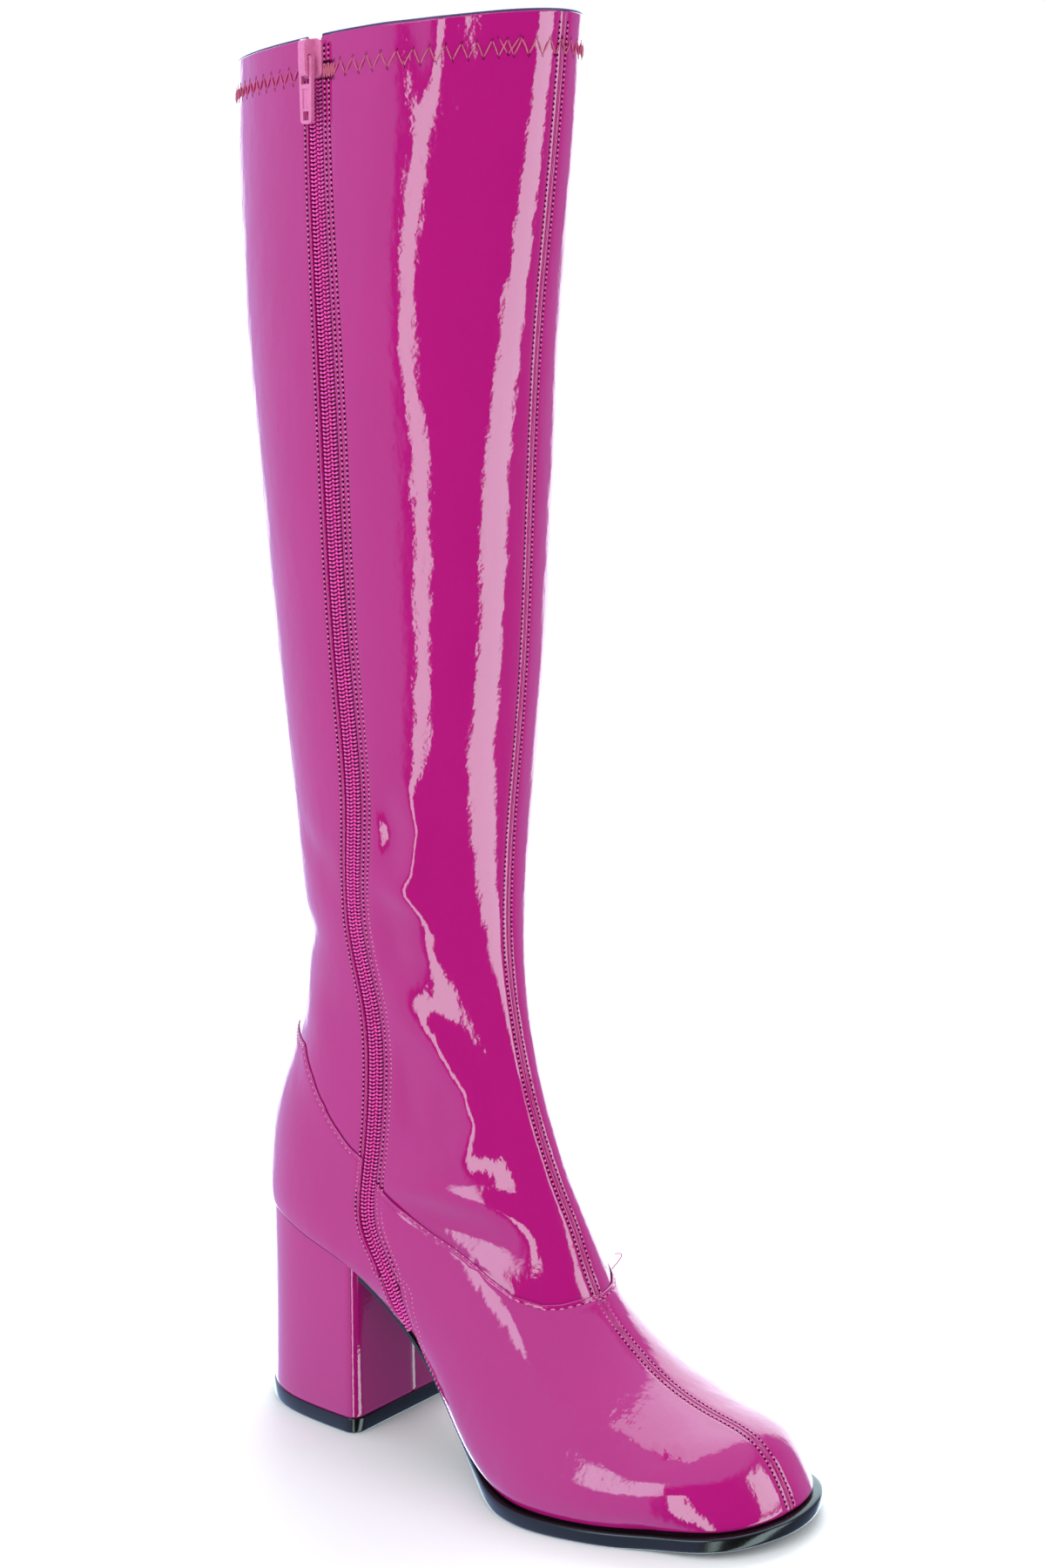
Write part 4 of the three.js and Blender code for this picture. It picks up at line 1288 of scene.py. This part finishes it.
def build_light_box_group():
    """A soft-edged rectangle of light in the studio, by azimuth and elevation in degrees."""
    inputs = [(name, "NodeSocketFloat", 0.0) for name in ("Azimuth", "Elevation", *BOX_SOCKETS)]
    group, given, result = new_group("light_box", inputs, [("Light", "NodeSocketFloat")])

    def rises(value, edge):
        node = group.nodes.new("ShaderNodeMapRange")
        node.interpolation_type = "SMOOTHSTEP"
        link(group, value, node.inputs["Value"])
        link(group, minus(group, edge, given.outputs["Soft"]), node.inputs["From Min"])
        link(group, plus(group, edge, given.outputs["Soft"]), node.inputs["From Max"])
        return node.outputs[0]

    leant = times(group, given.outputs["Elevation"], given.outputs["Lean"])
    middle = plus(group, given.outputs["Middle"], leant)
    away = math_node(group, "ABSOLUTE", minus(group, given.outputs["Azimuth"], middle))
    beside = minus(group, 1.0, rises(away, given.outputs["Half Width"]))
    above = rises(given.outputs["Elevation"], given.outputs["Low"])
    below = minus(group, 1.0, rises(given.outputs["Elevation"], given.outputs["High"]))
    light = times(group, times(group, beside, above), below)
    link(group, times(group, light, given.outputs["Power"]), result.inputs["Light"])
    return group


def studio_directions(tree):
    """Azimuth and elevation in the studio of the way that a ray goes, in degrees."""
    turned = tree.nodes.new("ShaderNodeVectorRotate")
    turned.rotation_type = "Z_AXIS"
    turned.inputs["Angle"].default_value = math.radians(STUDIO_TURN)
    link(tree, tree.nodes.new("ShaderNodeTexCoord").outputs["Generated"], turned.inputs["Vector"])
    split = tree.nodes.new("ShaderNodeSeparateXYZ")
    link(tree, turned.outputs[0], split.inputs[0])
    azimuth = times(tree, math_node(tree, "ARCTAN2", split.outputs[1], split.outputs[0]), DEGREES)
    return azimuth, times(tree, math_node(tree, "ARCSINE", split.outputs[2]), DEGREES)


def add_walls(tree, azimuth):
    """The walls' light, from the table."""
    ramp = tree.nodes.new("ShaderNodeValToRGB")
    ramp.color_ramp.interpolation = "EASE"
    link(tree, plus(tree, math_node(tree, "DIVIDE", azimuth, 360), 0.5), ramp.inputs[0])
    stops = ramp.color_ramp.elements
    while len(stops) < len(WALLS):
        stops.new(0.5)
    for stop, (degrees, power) in zip(stops, WALLS):
        stop.position = degrees / 360 + 0.5
        stop.color = (power / WALL_POWER,) * 3 + (1,)
    return times(tree, ramp.outputs[0], WALL_POWER)


def add_box(tree, group, azimuth, elevation, values):
    """One light box's light."""
    node = tree.nodes.new("ShaderNodeGroup")
    node.node_tree = group
    link(tree, azimuth, node.inputs["Azimuth"])
    link(tree, elevation, node.inputs["Elevation"])
    for socket, value in zip(BOX_SOCKETS, values):
        node.inputs[socket].default_value = value
    return node.outputs[0]


def add_background(tree, color, light):
    background = tree.nodes.new("ShaderNodeBackground")
    background.inputs["Color"].default_value = color
    if isinstance(light, float):
        background.inputs["Strength"].default_value = light
    else:
        link(tree, light, background.inputs["Strength"])
    return background.outputs[0]


def light_studio():
    """A plain pale world, in which the gloss mirrors the studio's walls and boxes."""
    world = bpy.context.scene.world or bpy.data.worlds.new("studio")
    bpy.context.scene.world = world
    world.use_nodes = True
    tree = world.node_tree
    tree.nodes.clear()
    azimuth, elevation = studio_directions(tree)
    group = build_light_box_group()
    walls_light = add_walls(tree, azimuth)
    boxes_light = 0.0
    for box in LIGHT_BOXES:
        boxes_light = plus(tree, boxes_light, add_box(tree, group, azimuth, elevation, box))
    ceiling_light = add_box(tree, group, azimuth, elevation, CEILING)
    walls_light = math_node(tree, "MAXIMUM", walls_light, ceiling_light)
    mirrored = tree.nodes.new("ShaderNodeAddShader")
    link(tree, add_background(tree, WALL_COLOR, walls_light), mirrored.inputs[0])
    link(tree, add_background(tree, BOX_COLOR, boxes_light), mirrored.inputs[1])
    choose = tree.nodes.new("ShaderNodeMixShader")
    link(tree, tree.nodes.new("ShaderNodeLightPath").outputs["Is Glossy Ray"], choose.inputs[0])
    link(tree, add_background(tree, (0.93, 0.94, 0.95, 1), 1.12), choose.inputs[1])
    link(tree, mirrored.outputs[0], choose.inputs[2])
    output = tree.nodes.new("ShaderNodeOutputWorld")
    link(tree, choose.outputs[0], output.inputs["Surface"])


def softbox(name, azimuth, distance, height, width, tall, power):
    """A light box beside the boot, which lights it but isn't mirrored in it."""
    data = bpy.data.lights.new(name, "AREA")
    data.shape = "RECTANGLE"
    data.size, data.size_y = width, tall
    data.energy = power
    lamp = bpy.data.objects.new(name, data)
    bpy.context.scene.collection.objects.link(lamp)
    angle = math.radians(azimuth - STUDIO_TURN)
    lamp.location = (math.cos(angle) * distance, math.sin(angle) * distance, height)
    lamp.rotation_euler = (Vector((0, -0.05, 0.2)) - lamp.location).to_track_quat("-Z", "Y").to_euler()
    lamp.visible_glossy = False


light_studio()
softbox("left_box", -45, 1.8, 1.1, 0.9, 1.2, 9)
softbox("right_box", 65, 1.8, 0.9, 0.7, 1.2, 5)
softbox("back_box", 165, 1.2, 1.5, 1.0, 0.8, 14)

bpy.ops.mesh.primitive_plane_add(size=60, location=(0, 0, 0))
floor = bpy.context.active_object
floor.name = "floor"
floor.select_set(False)
floor.visible_glossy = False
floor_finish = Finish("floor_paint", (0.91, 0.93, 0.94), 0.6, clouds=(3.0, 0.01))
floor.data.materials.append(floor_finish.material)
